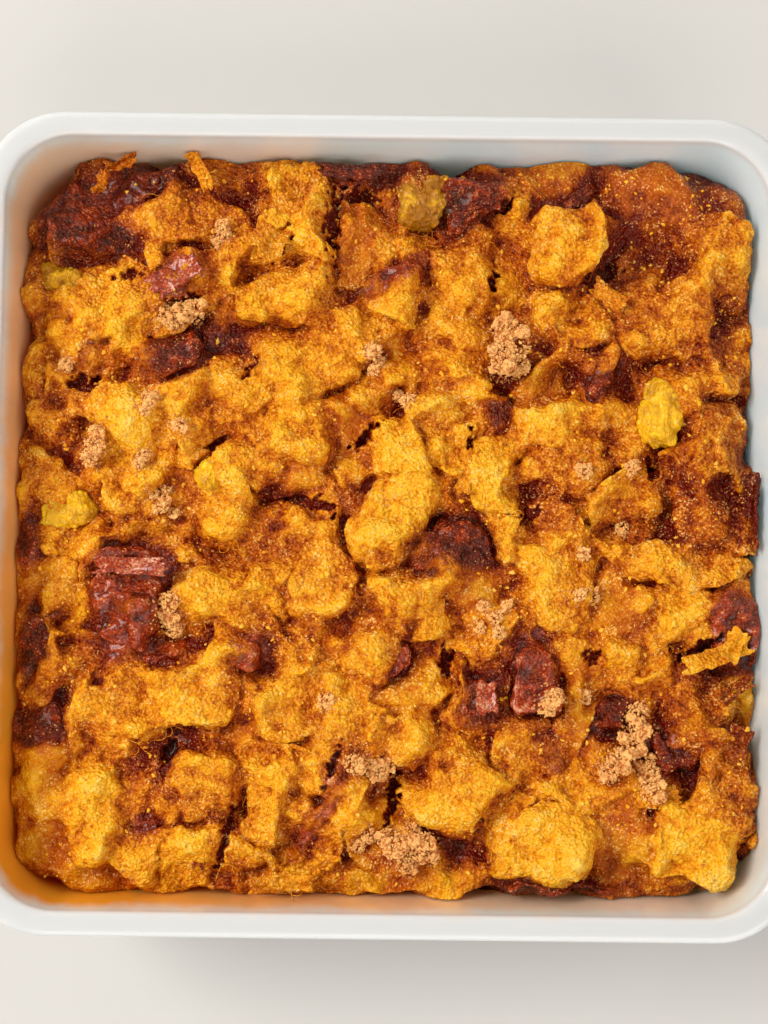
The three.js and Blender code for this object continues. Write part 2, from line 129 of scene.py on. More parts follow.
BREAD = [
    (-54, 83, 25, 13, 8, 41, -6, 4), (-25, 82, 17, 28, 0, 44, -8, 4), (-33, 80, 9, 16, 0, 41, -4, 6),
    (-41, 69, 15, 16, 20, 40, 0, 4), (-2, 74, 7, 17, 0, 38, 0, 0), (6, 76, 14, 8, 0, 39, 0, 6),
    (19, 62, 19, 33, 0, 41, -3, 3), (33, 83, 9, 15, 0, 39, 4, 0), (52, 57, 20, 17, 10, 41, -4, 6),
    (77, 57, 25, 22, 0, 42, -2, 3), (34, 66, 10, 14, 0, 38, 5, 0), (-28, 59, 24, 14, 0, 43, -2, 6),
    (-4, 56, 26, 17, 28, 43, 4, -10), (-13, 48, 16, 12, 40, 40, 0, -6), (-34, 36, 10, 12, 0, 41, 0, 4),
    (-68, 24, 24, 28, -10, 42, -4, 2), (-53, 31, 16, 18, 10, 41, 0, 4), (-54, 19, 14, 10, 20, 40, 0, -4),
    (19, 43, 18, 9, 0, 40, 0, 4), (15, 32, 13, 10, 0, 40, -4, 4), (-25, 25, 22, 14, 0, 42, -6, 4),
    (17, 20, 14, 15, 0, 40, 0, 0), (87, 39, 22, 14, 5, 42, -2, 4), (90, 21, 16, 20, 0, 41, 6, 0),
    (65, 25, 10, 19, 0, 40, 0, 0), (-84, -7, 14, 10, 0, 39, -6, 4), (-70, 8, 14, 10, 0, 40, 0, 0),
    (-62, -4, 18, 11, 0, 40, 0, 4), (-39, 12, 12, 16, 0, 41, -6, 2), (-42, 1, 15, 9, 0, 40, -4, 0),
    (-17, -5, 12, 12, 0, 38, 0, 0), (46, -13, 18, 26, 5, 42, -8, 4), (62, -4, 14, 12, 0, 39, 0, 4),
    (-44, -18, 14, 17, 0, 41, 4, -4), (-31, -18, 14, 16, 0, 41, -2, 0), (-16, -16, 15, 19, 0, 40, 0, 4),
    (-1, -18, 11, 16, 0, 39, 0, 0), (-80, -50, 10, 17, 0, 39, -6, 4), (-56, -48, 30, 16, 6, 42, -4, 4),
    (-22, -38, 18, 12, 0, 40, 0, 0), (-6, -36, 18, 11, 0, 41, 0, 6), (-7, -47, 15, 11, 0, 41, 0, 0),
    (56, -27, 14, 12, 0, 38, 0, -6), (64, -40, 12, 17, 0, 40, 0, 0), (73, -37, 8, 17, 0, 40, -4, 4),
    (-9, -57, 21, 13, 12, 42, -8, 10), (22, -58, 14, 14, 0, 39, 0, 0), (-23, -60, 12, 10, 0, 39, 0, 0),
    (-47, -70, 16, 16, 0, 41, -8, 6), (-19, -66, 10, 12, 0, 40, 0, 0), (27, -69, 14, 14, 0, 41, 0, 4),
    (40, -62, 11, 14, 0, 40, 0, 0), (54, -71, 14, 17, 35, 41, -6, 4), (-64, -89, 14, 13, 0, 41, -4, 0),
    (-51, -89, 14, 17, 0, 41, 0, -4), (-36, -88, 12, 9, -10, 41, -6, 0), (-23, -94, 17, 8, 0, 39, 0, -6),
    (-58, 75, 14, 8, 0, 37, 0, -10), (95, 49, 6, 14, 0, 38, 8, 0), (-69, 48, 12, 6, 10, 40, 0, 8),
    (33, -3, 8, 12, 0, 40, 0, 6), (28, -28, 9, 11, 0, 39, 0, 0), (21, -33, 12, 6, 0, 39, 0, 0),
    (8, -56, 12, 8, 0, 38, 0, -6), (-71, -60, 9, 9, 20, 39, 0, 0), (73, -93, 9, 6, 0, 38, 0, -8),
]
SOAKED_BREAD = [
    (-9, 73, 9, 27, 0, 40, 0, 0), (46, 93, 26, 13, -3, 38, -4, 8), (75, 89, 29, 17, -10, 40, 2, 8),
    (-31, 47, 12, 9, 0, 38, 0, 0), (3, 46, 10, 14, 0, 38, 0, 0), (-10, 26, 8, 15, 20, 39, 8, 0),
    (61, -21, 10, 14, 0, 39, 4, 0), (6, -48, 16, 10, 0, 39, 0, 0), (53, -48, 10, 26, -8, 40, 2, 0),
    (-90, -70, 17, 24, 0, 38, -6, 0), (-2, -79, 13, 13, 0, 38, 8, -4), (-24, -84, 10, 12, 0, 38, 0, 0),
    (14, -93, 12, 9, 0, 38, 0, -6), (66, -88, 12, 15, 0, 38, 0, -4), (-74, 88, 24, 12, 25, 36, -6, 10),
    (-65, 80, 8, 7, 0, 38, -6, 0), (-89, 56, 12, 9, 0, 36, -6, 0), (-90, 47, 14, 15, 0, 37, -4, 0),
    (-3, 90, 16, 12, 0, 35, 0, 6), (68, 72, 7, 7, 0, 38, 0, 0), (65, 57, 9, 14, 0, 37, 0, 0),
    (-75, 42, 9, 8, 0, 38, 0, -6), (21, 37, 15, 6, -5, 39, 0, -8), (-2, 33, 9, 7, 0, 38, 0, 0),
    (44, 38, 12, 8, 0, 38, 0, 0), (-96, 4, 7, 9, 0, 36, -8, 0), (-22, 16, 13, 6, 0, 39, 4, -12),
    (-92, -16, 13, 10, 0, 37, -6, 0), (25, -17, 9, 11, 0, 39, 10, 0), (-89, -45, 13, 8, 0, 37, -6, 0),
    (12, -39, 9, 10, 0, 38, 0, 0), (94, -47, 7, 10, 0, 38, 6, 0), (68, -73, 13, 12, 0, 37, 0, 0),
    (40, -73, 12, 8, 0, 37, 0, 0), (-91, -86, 12, 11, 0, 37, -6, -6), (-77, -93, 20, 8, -5, 37, 0, -8),
    (-4, -96, 10, 8, 0, 38, 0, -6), (30, -82, 10, 9, 0, 37, 0, 0), (55, -85, 7, 10, 0, 37, 4, 0),
]
TOASTED_BREAD = [
    (-89, 25, 17, 22, 0, 40, -6, 2), (49, 46, 13, 10, 5, 40, -4, 0), (51, 15, 18, 12, 0, 39, 0, 0),
    (89, 2, 21, 19, -5, 41, 2, 4), (-60, 5, 14, 8, 0, 38, 0, 0), (84, -50, 16, 17, 0, 43, -6, 8),
    (-65, -70, 10, 14, 0, 38, 0, 0), (92, -67, 17, 22, 0, 42, 4, 2), (26, -93, 14, 10, 0, 38, 0, -6),
    (77, 14, 9, 10, 0, 37, 0, 0), (45, 3, 11, 7, 0, 40, 0, 6), (-81, -15, 8, 6, 0, 38, 0, 0),
    (22, -42, 6, 10, 0, 40, -8, 0), (-42, -89, 5, 18, 15, 39, 8, -4), (96, -84, 6, 14, 0, 38, 10, 0),
]
DARK_CRUSTS = [
    (-83, 76, 26, 15, -12, 39, 4, -16), (-62, 93, 17, 11, -5, 40, -8, 6), (23, 88, 12, 19, -10, 42, -10, 6),
    (50, 89, 18, 6, 38, 40, 4, -10), (57, 70, 17, 9, 30, 38, 8, -10), (-59, 45, 20, 8, 24, 40, -4, -8),
    (58, 43, 13, 14, 0, 38, -4, -4), (-95, -6, 10, 11, 0, 38, -6, 0), (17, -6, 22, 13, -5, 41, 6, -10),
    (-90, -32, 15, 20, 0, 39, -4, 0), (77, -60, 9, 13, 20, 40, -4, 0), (-43, 92, 9, 8, 0, 38, 0, 6),
    (-10, 95, 18, 5, -3, 39, 0, 10), (94, 58, 8, 8, 0, 37, 8, 0), (-81, 45, 5, 16, 0, 38, 6, 0),
    (-45, 50, 13, 8, -10, 37, 0, 0), (31, 30, 9, 11, 0, 38, 4, 0), (-20, 5, 19, 14, 0, 37, 0, 0),
    (88, -35, 19, 4, 20, 39, 0, -14), (-72, -8, 9, 4, 0, 39, 0, 0), (-92, -53, 15, 10, 30, 37, -6, 0),
    (27, -46, 7, 10, 0, 41, -4, 4), (63, -54, 9, 10, 0, 39, -6, 6), (-57, -62, 8, 12, 0, 36, 0, 0),
    (46, -61, 6, 9, 0, 39, 0, 0), (17, -86, 6, 4, 0, 39, 0, 0), (45, -96, 21, 3, 0, 40, 0, -14),
]
RED_CRUSTS = [
    (-83, 84, 22, 9, 15, 38, -6, 22), (-58, 65, 21, 9, 33, 41, -12, 14), (-3, 63, 20, 5, 25, 43, -6, 14),
    (92, -27, 12, 19, 0, 41, 14, -4), (-68, -25, 17, 21, 0, 43, -4, 2), (-61, -34, 21, 6, 12, 40, 0, -12),
    (42, -43, 9, 20, 0, 43, -4, 4), (-15, -77, 26, 4, 66, 41, -14, 6), (-68, -12, 18, 4, -3, 42, -4, 6),
    (-74, -55, 10, 13, 20, 37, 0, 0), (-38, -37, 8, 6, 0, 40, 0, 0), (5, -36, 4, 9, -15, 41, -8, 0),
    (-64, -81, 9, 5, 0, 40, 0, 6),
]
FRUIT = [
    (-89, 65, 13, 8, -15, 38, -8, 0), (9, 88, 13, 14, 0, 41, 0, 8), (75, 31, 11, 17, -20, 42, -6, 4),
    (-86, 2, 12, 9, 0, 39, -4, 0), (-46, 12, 9, 8, 0, 42, 0, 6),
]

# What the fused pieces are like, each from 0 to 1: toasted, soaked, bright, crust, and red crust. A piece
# strays from its kind by up to a fifth of what is loose, and crust counts as nearer by its lead.
BREAD_KINDS = ("toast", "soak", "tone", "crust", "red")
BREAD_TABLES = {
    "pale": PALE_BREAD, "plain": BREAD, "soaked": SOAKED_BREAD, "toasted": TOASTED_BREAD,
    "dark": DARK_CRUSTS, "red": RED_CRUSTS,
}
BREAD_SHAPES = 8
BREAD_BLOCK = {"unevenness": 0.12, "roundness": 0.32}
FRUIT_BLOCK = {"unevenness": 0.13, "roundness": 0.6}
BREAD_LIKE = {
    "pale": (0, 0, 1, 0, 0), "plain": (0.2, 0.05, 0.6, 0, 0), "soaked": (0.15, 0.85, 0.35, 0, 0),
    "toasted": (0.95, 0, 0.25, 0.2, 0.3), "dark": (0.5, 0, 0.2, 0.95, 0.1), "red": (0.5, 0, 0.2, 0.95, 1),
}
LOOSE = (1.5, 0.5, 1.8, 0.2, 0.5)
BARE_MASS = (0.4, 0.5, 0.35, 0, 0)
CRUST_LEAD = 0.5
CRUST_COUNT = len(DARK_CRUSTS) + len(RED_CRUSTS)

# Dark holes and cracks between the pieces: x, y, length, width, turn and depth. Each sinks a share of its
# depth, and its edge wanders by a noise of that size and raggedness.
PIT_SHARE = 0.6
PIT_FRAY = 2.4
PIT_RAGGEDNESS = 1.3
PIT_REACH = 1.7
PITS = [
    (-29, 75, 6, 2.6, 60, 4), (32, 87, 3, 2.2, 20, 4), (29, 66, 3.4, 2, 80, 4), (-5.5, 23.5, 7.5, 2.2, 42, 5),
    (17, -37, 6, 2.6, 100, 5), (3, -73, 11, 2.2, 82, 5), (-56, 58.5, 8, 3, 20, 4), (-8, 90, 7, 3, 0, 4),
    (-15, 82, 15, 2.6, 88, 3), (22, 17, 13, 1.3, 82, 3.5), (-20, 5, 9, 3, -15, 3), (59, 68, 9, 3.4, 35, 3),
    (-82, 37, 6, 2.6, 0, 4), (-37, 41, 4, 1.6, 70, 3), (56, -35, 4, 2.4, 0, 3),
    (-13, -64, 9, 1.6, 70, 3), (39, 3, 4, 2.6, 40, 3), (72, 15, 4, 2.4, 90, 3), (73, -72, 10, 2.2, 80, 3),
    (-57, -62, 6, 3, 60, 4), (-70, 67, 5, 2, 10, 3), (84, -33, 9, 2.2, 25, 4), (-41, -84, 12, 1.6, 75, 3),
]

# What the finishes read from the relief. A hollow lies under the mean height within its reach, and dips and
# tips stand out of the surface after some rounds of smoothing, as a share of a height.
# The bread's finish paints shade into the hollows and light onto the dips and tips.
HOLLOW_REACH = 4
HOLLOW_DEPTH = 2.5
# Painted shade: how much the pits add to the hollows, so that the finish darkens them.
PIT_WEIGHT = 3
DIP = {"rounds": 90, "height": 0.7}
TIP = {"rounds": 12, "height": 0.2}

# Thin torn flakes, a row for each as above, then how far it curls up in millimetres, and what it is like.
FLAKES = [
    (-67.5, -12.5, 19, 4.5, -3, 43.4, -6, 8, 0.8, "pink"), (-30, 79, 17, 9, 64, 43.8, 14, 6, 1.8, "golden"),
    (88, -35, 18, 5, 20, 43, 0, 22, 1.6, "pale"), (92.5, -32, 9, 5, 60, 44.5, 10, 12, 1.8, "pale"),
    (-51, 95, 13, 3.5, -62, 42.5, -12, 4, 1.0, "pale"), (-26, -95.5, 15, 5, 4, 41.5, 0, -18, 1.8, "golden"),
    (93, -44, 9, 3.5, 35, 42.5, 10, 4, 2.0, "toasted"), (94, -58, 10, 6, 70, 43.5, 14, 0, 1.6, "toasted"),
    (-73, 97, 8, 3, 20, 40.5, 0, 10, 2.2, "golden"), (-78, 92, 7, 3, 70, 40.5, -8, 6, 2.0, "golden"),
    (-10, 95.5, 17, 5, -3, 41.5, 0, 24, 0.8, "dark"), (97, 8, 12, 6, 84, 45.4, 30, 0, 1.2, "toasted"),
    (60, 62, 10, 5, -35, 41.5, 6, 8, 1.2, "golden"), (-46, -84, 15, 4, 72, 41, -10, 4, 1.0, "toasted"),
    (22, 14, 12, 4, 78, 42, -8, 6, 1.0, "golden"), (73, -72, 12, 5, 10, 40.5, 4, 8, 1.0, "golden"),
    (27.5, -46.5, 5.5, 8, 0, 42.8, -4, 4, 0.6, "pink"), (-57, 66, 15, 8, 35, 43.4, -12, 14, 0.8, "pink"),
]
FLAKE_LIKE = {
    "pale": (0, 0, 0.9, 0, 0), "golden": (0.2, 0.2, 0.5, 0, 0), "toasted": (1.1, 0, 0.2, 0.3, 1),
    "dark": (0.6, 0, 0.2, 1, 0.2), "pink": (0.3, 0, 0.8, 1, 1.4),
}
FLAKE_THICKNESS = 0.6
# The flake that stands against the right wall: its middle, thickness, length, foot, top and curl.
WALL_FLAKE = {"x": 98.3, "y": 3, "thickness": 0.9, "length": 16, "foot": 33, "top": 46, "curl": 0.5}

# Tufts of fibre pulled out of torn bread: x, y, the number of fibres, and their length. Others lie singly.
FIBRE_RADIUS = 0.13
FIBRE_SINK = 0.2
SINGLE_FIBRE_LENGTH = 3.5
TUFTS = [
    (7, 80, 9, 8), (6, 71, 8, 8), (-40, -5, 6, 7), (41, -28, 8, 8), (80, -33, 8, 7), (-55, -54, 7, 6),
    (93, -44, 6, 5), (-60, 88, 7, 6), (-30, 72, 8, 7), (-26, -95, 6, 6), (-43, -90, 6, 6), (50, 60, 5, 5),
    (-66, -60, 6, 6), (3, 24, 6, 5), (60, -62, 6, 5), (-84, 40, 5, 5), (88, -70, 6, 5), (24, 74, 6, 6),
]

# Clumps of brown sugar, each a run of crumbs, and the single crumbs: x, y and radius.
SUGAR_CLUMPS = [
    [(32, 53, 3.4), (34, 48, 4.6), (31.5, 44, 3.8), (35.5, 43, 3.2)],
    [(68, -50, 2.9), (68.5, -54.5, 3), (66.5, -59, 3.4), (62.5, -62.5, 3.2), (60.5, -66, 2.8), (71, -66, 3),
     (72, -70.5, 3.3), (70, -63, 2.6)],
    [(2, -84, 2.8), (6, -86, 4.2), (11, -86, 3.8), (7, -90, 2.8)],
    [(-58.5, 55, 3), (-55, 56, 3.2), (-52, 57, 2.8)],
    [(-77, 23, 2.3), (-77.6, 19.4, 2.7), (-79, 16, 2.3)],
    [(43.4, -48.6, 2.2), (45, -46, 2.3)],
    [(-57, -22, 2.7), (-57.5, -26, 3), (-56, -29.5, 2.1)],
    [(-7, -64, 2.6), (-3.6, -65, 2.3), (-1, -66, 2.9), (1.6, -64.6, 2.1)],
]
CRUMBS = [
    (-45, 80, 2), (-46, 76, 1.8), (-63, 32, 2.2), (-55, 25, 2), (-65, 17, 1.9), (-4, 46, 2.3), (-3, 42, 1.9),
    (6, 33, 1.9), (53, 14, 1.9), (66, 15, 2), (-87, 42, 2), (-60, 4, 2.2), (56, -19, 1.9), (52, -19, 1.7),
    (53, -8, 1.7), (-3, -83, 2.1), (-6, -86, 1.9), (54, -46, 1.9), (-15, -48, 2.2), (64, -1, 1.8),
    (27, -22, 1.7), (30, -25, 2.0), (33, -22, 1.5), (26, -28, 1.5), (31, -29, 1.6), (-62, 7, 1.5),
    (-57, 2, 1.4), (-59, 8, 1.3), (-44, 78, 1.6), (-64, 29, 1.5), (3, 35, 1.5), (-2, 44, 1.6),
    (-66, 15, 1.4), (9, -82, 1.7),
]

# How scraps, crumbs, grains and fibres are laid on the top, how far out they may lie, and how high. Crumbs
# and grains lie in patches of a size, with bare stretches between, and few of them on crusts.
SCRAPS_HALF = 95
SCRAPS_STRAIGHT = 70
SCRAPS_RISE = (1.5, 5)
SCRAPS_LEAN = 18
SCRAPS_LENGTH = (4, 11)
SCRAPS_WIDTH = (4, 9)
SCRAPS_LIKE = (0.7, 0.6, 0.8)
STREWN_HALF = 97
STREWN_LOW = MASS_TOP - 3
STREWN_TOP = DISH_HEIGHT - 4
FIBRES_HALF = 94
FIBRES_TOP = DISH_HEIGHT - 7
SUNK_SHARE = 0.3
CRUST_LIMIT = 0.4
BREAD_STREWING = {"sizes": (0.22, 0.9), "patch": 9, "bareness": 0.0, "on_crust": 0.04}
SUGAR_STREWING = {"sizes": (0.14, 0.4), "patch": 13, "bareness": 0.22, "on_crust": 0.3}

# A crumb of sugar: small balls, whose sizes and spread are shares of its radius, and grains stuck to it or
# spilt round it, so many for each millimetre of its radius.
BALLS_PER_CRUMB = 10
BALL_SIZES = (0.24, 0.5)
BALL_SPREAD = 0.8
STUCK_PER_RADIUS = 30
STUCK_SIZES = (0.2, 0.55)
SPILT_PER_RADIUS = 14
SPILT_SIZES = (0.15, 0.5)

# What each random draw starts from.
SEEDS = {
    "kinds": 5, "scraps": 17, "fruit": 40, "bow": 50, "wall_flake": 90, "fibres": 31, "crumbs": 23,
    "sugar": 11,
}

# The studio: each light's place, side, watts and colour, and the camera.
WARM_WHITE = (1.0, 0.97, 0.94)
LIGHTS = {
    "window": ((-1.0, 0.3, 0.9), 0.7, 18.5, (1.0, 0.97, 0.93)),
    "near_fill": ((0.2, -1.1, 0.75), 1.4, 13.0, WARM_WHITE),
    "right_fill": ((1.1, 0.2, 0.75), 1.4, 6.5, WARM_WHITE),
    "far_fill": ((-0.1, 1.2, 0.75), 1.3, 5.0, WARM_WHITE),
}
AMBIENT_COLOUR = (1.0, 0.96, 0.92, 1)
AMBIENT_STRENGTH = 0.22
FLOOR_SIDE = 12
CAMERA_PLACE = (-0.00013, -0.02672, 0.452)
CAMERA_TURN = (0.07146, 0, 0.01184)
CAMERA_SENSOR = 36
CAMERA_LENS = 54.1


def rgb(red, green, blue):
    """A screen colour, 0 to 255, as the light it stands for."""
    return tuple((value / 255) ** 2.2 for value in (red, green, blue))


def length_property(name, description, default):
    return FloatProperty(name=name, description=description, default=default, unit="LENGTH", precision=5)


def count_property(name, description, default):
    return IntProperty(name=name, description=description, default=default, min=0)


def colour_property(name, description, default):
    return FloatVectorProperty(
        name=name, description=description, default=default, subtype="COLOR", size=3, min=0, max=1
    )


class PuddingDishSettings(bpy.types.PropertyGroup):
    """The milk-glass dish."""
    glass: colour_property("Glass", "Colour of the milk glass", rgb(205, 207, 207))
    # Painted light: a brighter copy of the glass colour for the inside walls.
    wall: colour_property("Wall", "Colour of the milk glass inside the dish", rgb(217, 232, 236))
    # Colour of the baked-on specks, and of the warm tint low on the inside walls.
    stain_and_tint: colour_property("Stain", "Colour of the custard and sugar baked on the wall", rgb(232, 164, 48))


class PuddingBreadSettings(bpy.types.PropertyGroup):
    """The fused bread, crusts and custard."""
    voxel: length_property("Fineness", "Side of the cells in which the bread is fused", 0.42 * MM)
    scraps: count_property("Scraps", "Small scraps of bread between the pieces", 420)
    swell: length_property("Swell", "Height of the soft swellings", 2.4 * MM)
    lump: length_property("Lump", "Height of the soft lumps of crumb", 0.8 * MM)
    crag: length_property("Crag", "Height of the crags of torn crumb", 1.9 * MM)
    pebble: length_property("Pebble", "Height of the small rounded lumps of crumb", 0.6 * MM)
    grain: length_property("Grain", "Height of the fine crumb", 0.3 * MM)
    # Painted highlights: the cream glints painted into the crumb's colour, partly pale specks.
    cream: colour_property("Cream", "Colour of the finest glints of crumb and sugar", rgb(255, 208, 136))
    pale: colour_property("Pale crumb", "Colour of the brightest crumb", rgb(255, 200, 78))
    golden: colour_property("Golden crumb", "Colour of lit crumb", rgb(255, 182, 36))
    orange: colour_property("Orange crumb", "Colour of most of the crumb", rgb(232, 141, 22))
    toasted: colour_property("Toasted crumb", "Colour of toasted crumb", rgb(178, 81, 8))
    # The hollows run down to this colour, partly real syrup and partly painted shade.
    syrup: colour_property("Syrup", "Colour of the syrup that gathers in the hollows", rgb(100, 17, 0))
    custard: colour_property("Custard", "Colour of bread smooth with custard", rgb(216, 146, 16))
    char: colour_property("Char", "Colour of the darkest crust", rgb(56, 8, 0))
    dark_crust: colour_property("Dark crust", "Colour of the dark crusts", rgb(104, 27, 2))
    red_crust: colour_property("Red crust", "Colour of the glossy red crusts", rgb(172, 56, 12))
    # Partly the colour of pink crusts, partly painted sheen on the crusts.
    pink_and_sheen: colour_property("Blush", "Colour of the dry glints on the crusts", rgb(236, 168, 126))


class PuddingToppingSettings(bpy.types.PropertyGroup):
    """The fruit and the brown sugar."""
    fruit: colour_property("Fruit", "Colour of the yellow fruit", rgb(226, 164, 24))
    sugar: colour_property("Sugar", "Colour of the brown sugar", rgb(255, 190, 110))
    grains: count_property("Grains", "Loose grains of sugar over the top", 5000)
    fibres: count_property("Fibres", "Single fibres over the top", 160)
    crumbs: count_property("Crumbs", "Loose crumbs of bread over the top", 1800)


class PuddingStageSettings(bpy.types.PropertyGroup):
    """The floor."""
    floor: colour_property("Floor", "Colour of the floor", rgb(202, 200, 196))


def select_only(*objects):
    bpy.ops.object.select_all(action="DESELECT")
    for obj in objects:
        obj.select_set(True)
    bpy.context.view_layer.objects.active = objects[0]


def shade_smooth(obj, angle=None):
    """Smooth all over, or only where faces meet at less than an angle in degrees."""
    select_only(obj)
    if angle is None:
        bpy.ops.object.shade_smooth()
    else:
        bpy.ops.object.shade_smooth_by_angle(angle=math.radians(angle))


@contextmanager
def editing(obj):
    """Edit mode for one object."""
    select_only(obj)
    bpy.ops.object.mode_set(mode="EDIT")
    yield
    bpy.ops.object.mode_set(mode="OBJECT")


def read_all(items, name, kind=np.float32, width=1):
    """One value, or a row of them, of every point, edge, face or corner of a mesh."""
    values = np.empty(len(items) * width, kind)
    items.foreach_get(name, values)
    return values if width == 1 else values.reshape(-1, width)


def choose_parts(mesh, points=None, edges=None, faces=None):
    """Selects those points, edges and faces of a mesh and no others, for edit mode."""
    for parts, chosen in ((mesh.vertices, points), (mesh.edges, edges), (mesh.polygons, faces)):
        parts.foreach_set("select", np.zeros(len(parts), bool) if chosen is None else chosen)


def new_object(name, corners, faces):
    mesh = bpy.data.meshes.new(name)
    mesh.from_pydata(corners, [], faces)
    obj = bpy.data.objects.new(name, mesh)
    bpy.context.scene.collection.objects.link(obj)
    return obj


def apply_modifier(obj, kind, **settings):
    select_only(obj)
    modifier = obj.modifiers.new(kind.title(), kind)
    for name, value in settings.items():
        setattr(modifier, name, value)
    bpy.ops.object.modifier_apply(modifier=modifier.name)


def smooth(obj, rounds):
    apply_modifier(obj, "SMOOTH", factor=0.5, iterations=rounds)


def join(name, objects):
    """One mesh of several, named, with its place in its mesh."""
    select_only(*objects)
    if len(objects) > 1:
        bpy.ops.object.join()
    joined = bpy.context.object
    bpy.ops.object.transform_apply(location=True, rotation=True, scale=True)
    joined.name = joined.data.name = name
    return joined


def copy_of(shape, place):
    twin = shape.copy()
    twin.data = shape.data.copy()
    bpy.context.scene.collection.objects.link(twin)
    twin.matrix_world = place
    return twin


def remove(*objects):
    for obj in objects:
        bpy.data.objects.remove(obj)


def points_of(obj):
    return read_all(obj.data.vertices, "co", width=3)


def set_points(obj, points):
    obj.data.vertices.foreach_set("co", points.astype(np.float32).ravel())
    obj.data.update()


def add_attribute(obj, name, values):
    attribute = obj.data.attributes.new(name, "FLOAT", "POINT")
    attribute.data.foreach_set("value", values.astype(np.float32))


def add_group(obj, name, values, steps=12):
    """A vertex group whose weights are rounded to a few steps."""
    group = obj.vertex_groups.new(name=name)
    rounded = np.rint(np.clip(values, 0, 1) * steps).astype(int)
    for step in range(1, steps + 1):
        group.add(np.flatnonzero(rounded == step).tolist(), step / steps, "REPLACE")


def dress(obj, material, slot, *nodes):
    """Gives a finished piece its material and its body, and hides the nodes that it stands for. The slot is
    not used.
    """
    obj.data.materials.clear()
    obj.data.materials.append(material)
    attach(obj, BODY)
    if nodes:
        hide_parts(*nodes)


def roughen(obj, name, size, height, kind="CLOUDS", group="", direction="NORMAL", **settings):
    """Pushes a surface in and out by a noise of that size and height."""
    texture = bpy.data.textures.new(name, kind)
    texture.noise_scale = size
    for key, value in settings.items():
        setattr(texture, key, value)
    apply_modifier(
        obj, "DISPLACE", texture=texture, strength=height, mid_level=0.5, vertex_group=group,
        texture_coords="LOCAL", direction=direction,
    )
    bpy.data.textures.remove(texture)


class Wire:
    """A socket of a finish, which takes part in sums, products and differences."""

    def __init__(self, finish, socket):
        self.finish = finish
        self.socket = socket

    def maths(self, operation, first, second):
        return self.finish.node("ShaderNodeMath", {"operation": operation}, {0: first, 1: second})

    def __add__(self, other):
        return self.maths("ADD", self, other)

    def __sub__(self, other):
        return self.maths("SUBTRACT", self, other)

    def __mul__(self, other):
        return self.maths("MULTIPLY", self, other)

    def __rsub__(self, other):
        return self.maths("SUBTRACT", other, self)

    __radd__ = __add__
    __rmul__ = __mul__


class Finish:
    """A material being made: its nodes, and the values of its shader."""

    def __init__(self, name, **constants):
        self.material = bpy.data.materials.new(name)
        self.material.use_nodes = True
        self.tree = self.material.node_tree
        self.shader = self.tree.nodes["Principled BSDF"]
        self.place = self.node("ShaderNodeTexCoord", output="Object")
        self.set(**constants)

    def node(self, kind, settings=None, values=None, output=0):
        """A node of a kind, with its settings and the values or wires of its inputs. Gives one output."""
        node = self.tree.nodes.new(kind)
        for name, value in (settings or {}).items():
            if name == "shades":
                self.set_shades(node.color_ramp, value)
            else:
                setattr(node, name, value)
        for name, value in (values or {}).items():
            self.connect(node.inputs[name], value)
        return Wire(self, node.outputs[output])

    @staticmethod
    def set_shades(ramp, colours):
        """Spreads the colours evenly over a ramp."""
        while len(ramp.elements) < len(colours):
            ramp.elements.new(1.0)
        for i, (element, colour) in enumerate(zip(ramp.elements, colours)):
            element.position = i / (len(colours) - 1)
            element.color = (*colour, 1)

    def connect(self, socket, value):
        if isinstance(value, Wire):
            self.tree.links.new(value.socket, socket)
        elif hasattr(value, "__len__") and len(value) == 3 and socket.type == "RGBA":
            socket.default_value = (*value, 1)
        else:
            socket.default_value = value

    def set(self, **values):
        """Sets the shader's inputs, named with underscores for spaces."""
        for name, value in values.items():
            self.connect(self.shader.inputs[name.replace("_", " ")], value)

    def attribute(self, name):
        return self.node("ShaderNodeAttribute", {"attribute_name": name}, output="Fac")

    def axis(self, name):
        """The place along one axis, in metres."""
        return self.node("ShaderNodeSeparateXYZ", None, {0: self.place}, output=name)

    def noise(self, size, detail, roughness, distortion=0.0, where=None):
        """A noise from about 0 to 1, whose features have that size in metres."""
        values = {
            "Vector": where or self.place, "Scale": 1 / size, "Detail": detail, "Roughness": roughness,
            "Distortion": distortion,
        }
        return self.node("ShaderNodeTexNoise", None, values, output="Fac")

    def cells(self, size):
        """How far the place is from the middle of its cell, in cells of that size in metres."""
        values = {"Vector": self.place, "Scale": 1 / size}
        return self.node("ShaderNodeTexVoronoi", None, values, output="Distance")

    def ramp(self, wire, low, high):
        """0 where a wire is below low, 1 where it is above high, and smooth between."""
        settings = {"interpolation_type": "SMOOTHSTEP"}
        return self.node("ShaderNodeMapRange", settings, {"Value": wire, "From Min": low, "From Max": high})

    def mix(self, share, first, second):
        """One colour where the share is 0, and the other where it is 1."""
        return self.node("ShaderNodeMix", {"data_type": "RGBA"}, {0: share, 6: first, 7: second}, output=2)

    def shades(self, wire, colours):
        """The colours in turn, as a wire goes from 0 to 1."""
        return self.node("ShaderNodeValToRGB", {"shades": colours}, {"Fac": wire}, output="Color")

    def squeeze(self, stretch):
        """The place, with each axis scaled, for a pattern that runs one way."""
        return self.node("ShaderNodeMapping", None, {"Vector": self.place, "Scale": stretch})

    def bump(self, height, distance, strength=1.0):
        values = {"Height": height, "Distance": distance, "Strength": strength}
        return self.node("ShaderNodeBump", None, values)


def bend(start, control, end):
    """Points of a quarter-round bend, without its start."""
    start, control, end = Vector(start), Vector(control), Vector(end)
    points = []
    for step in range(1, BEND_STEPS + 1):
        share = step / BEND_STEPS
        points.append(start.lerp(control, share).lerp(control.lerp(end, share), share))
    return [tuple(point) for point in points]


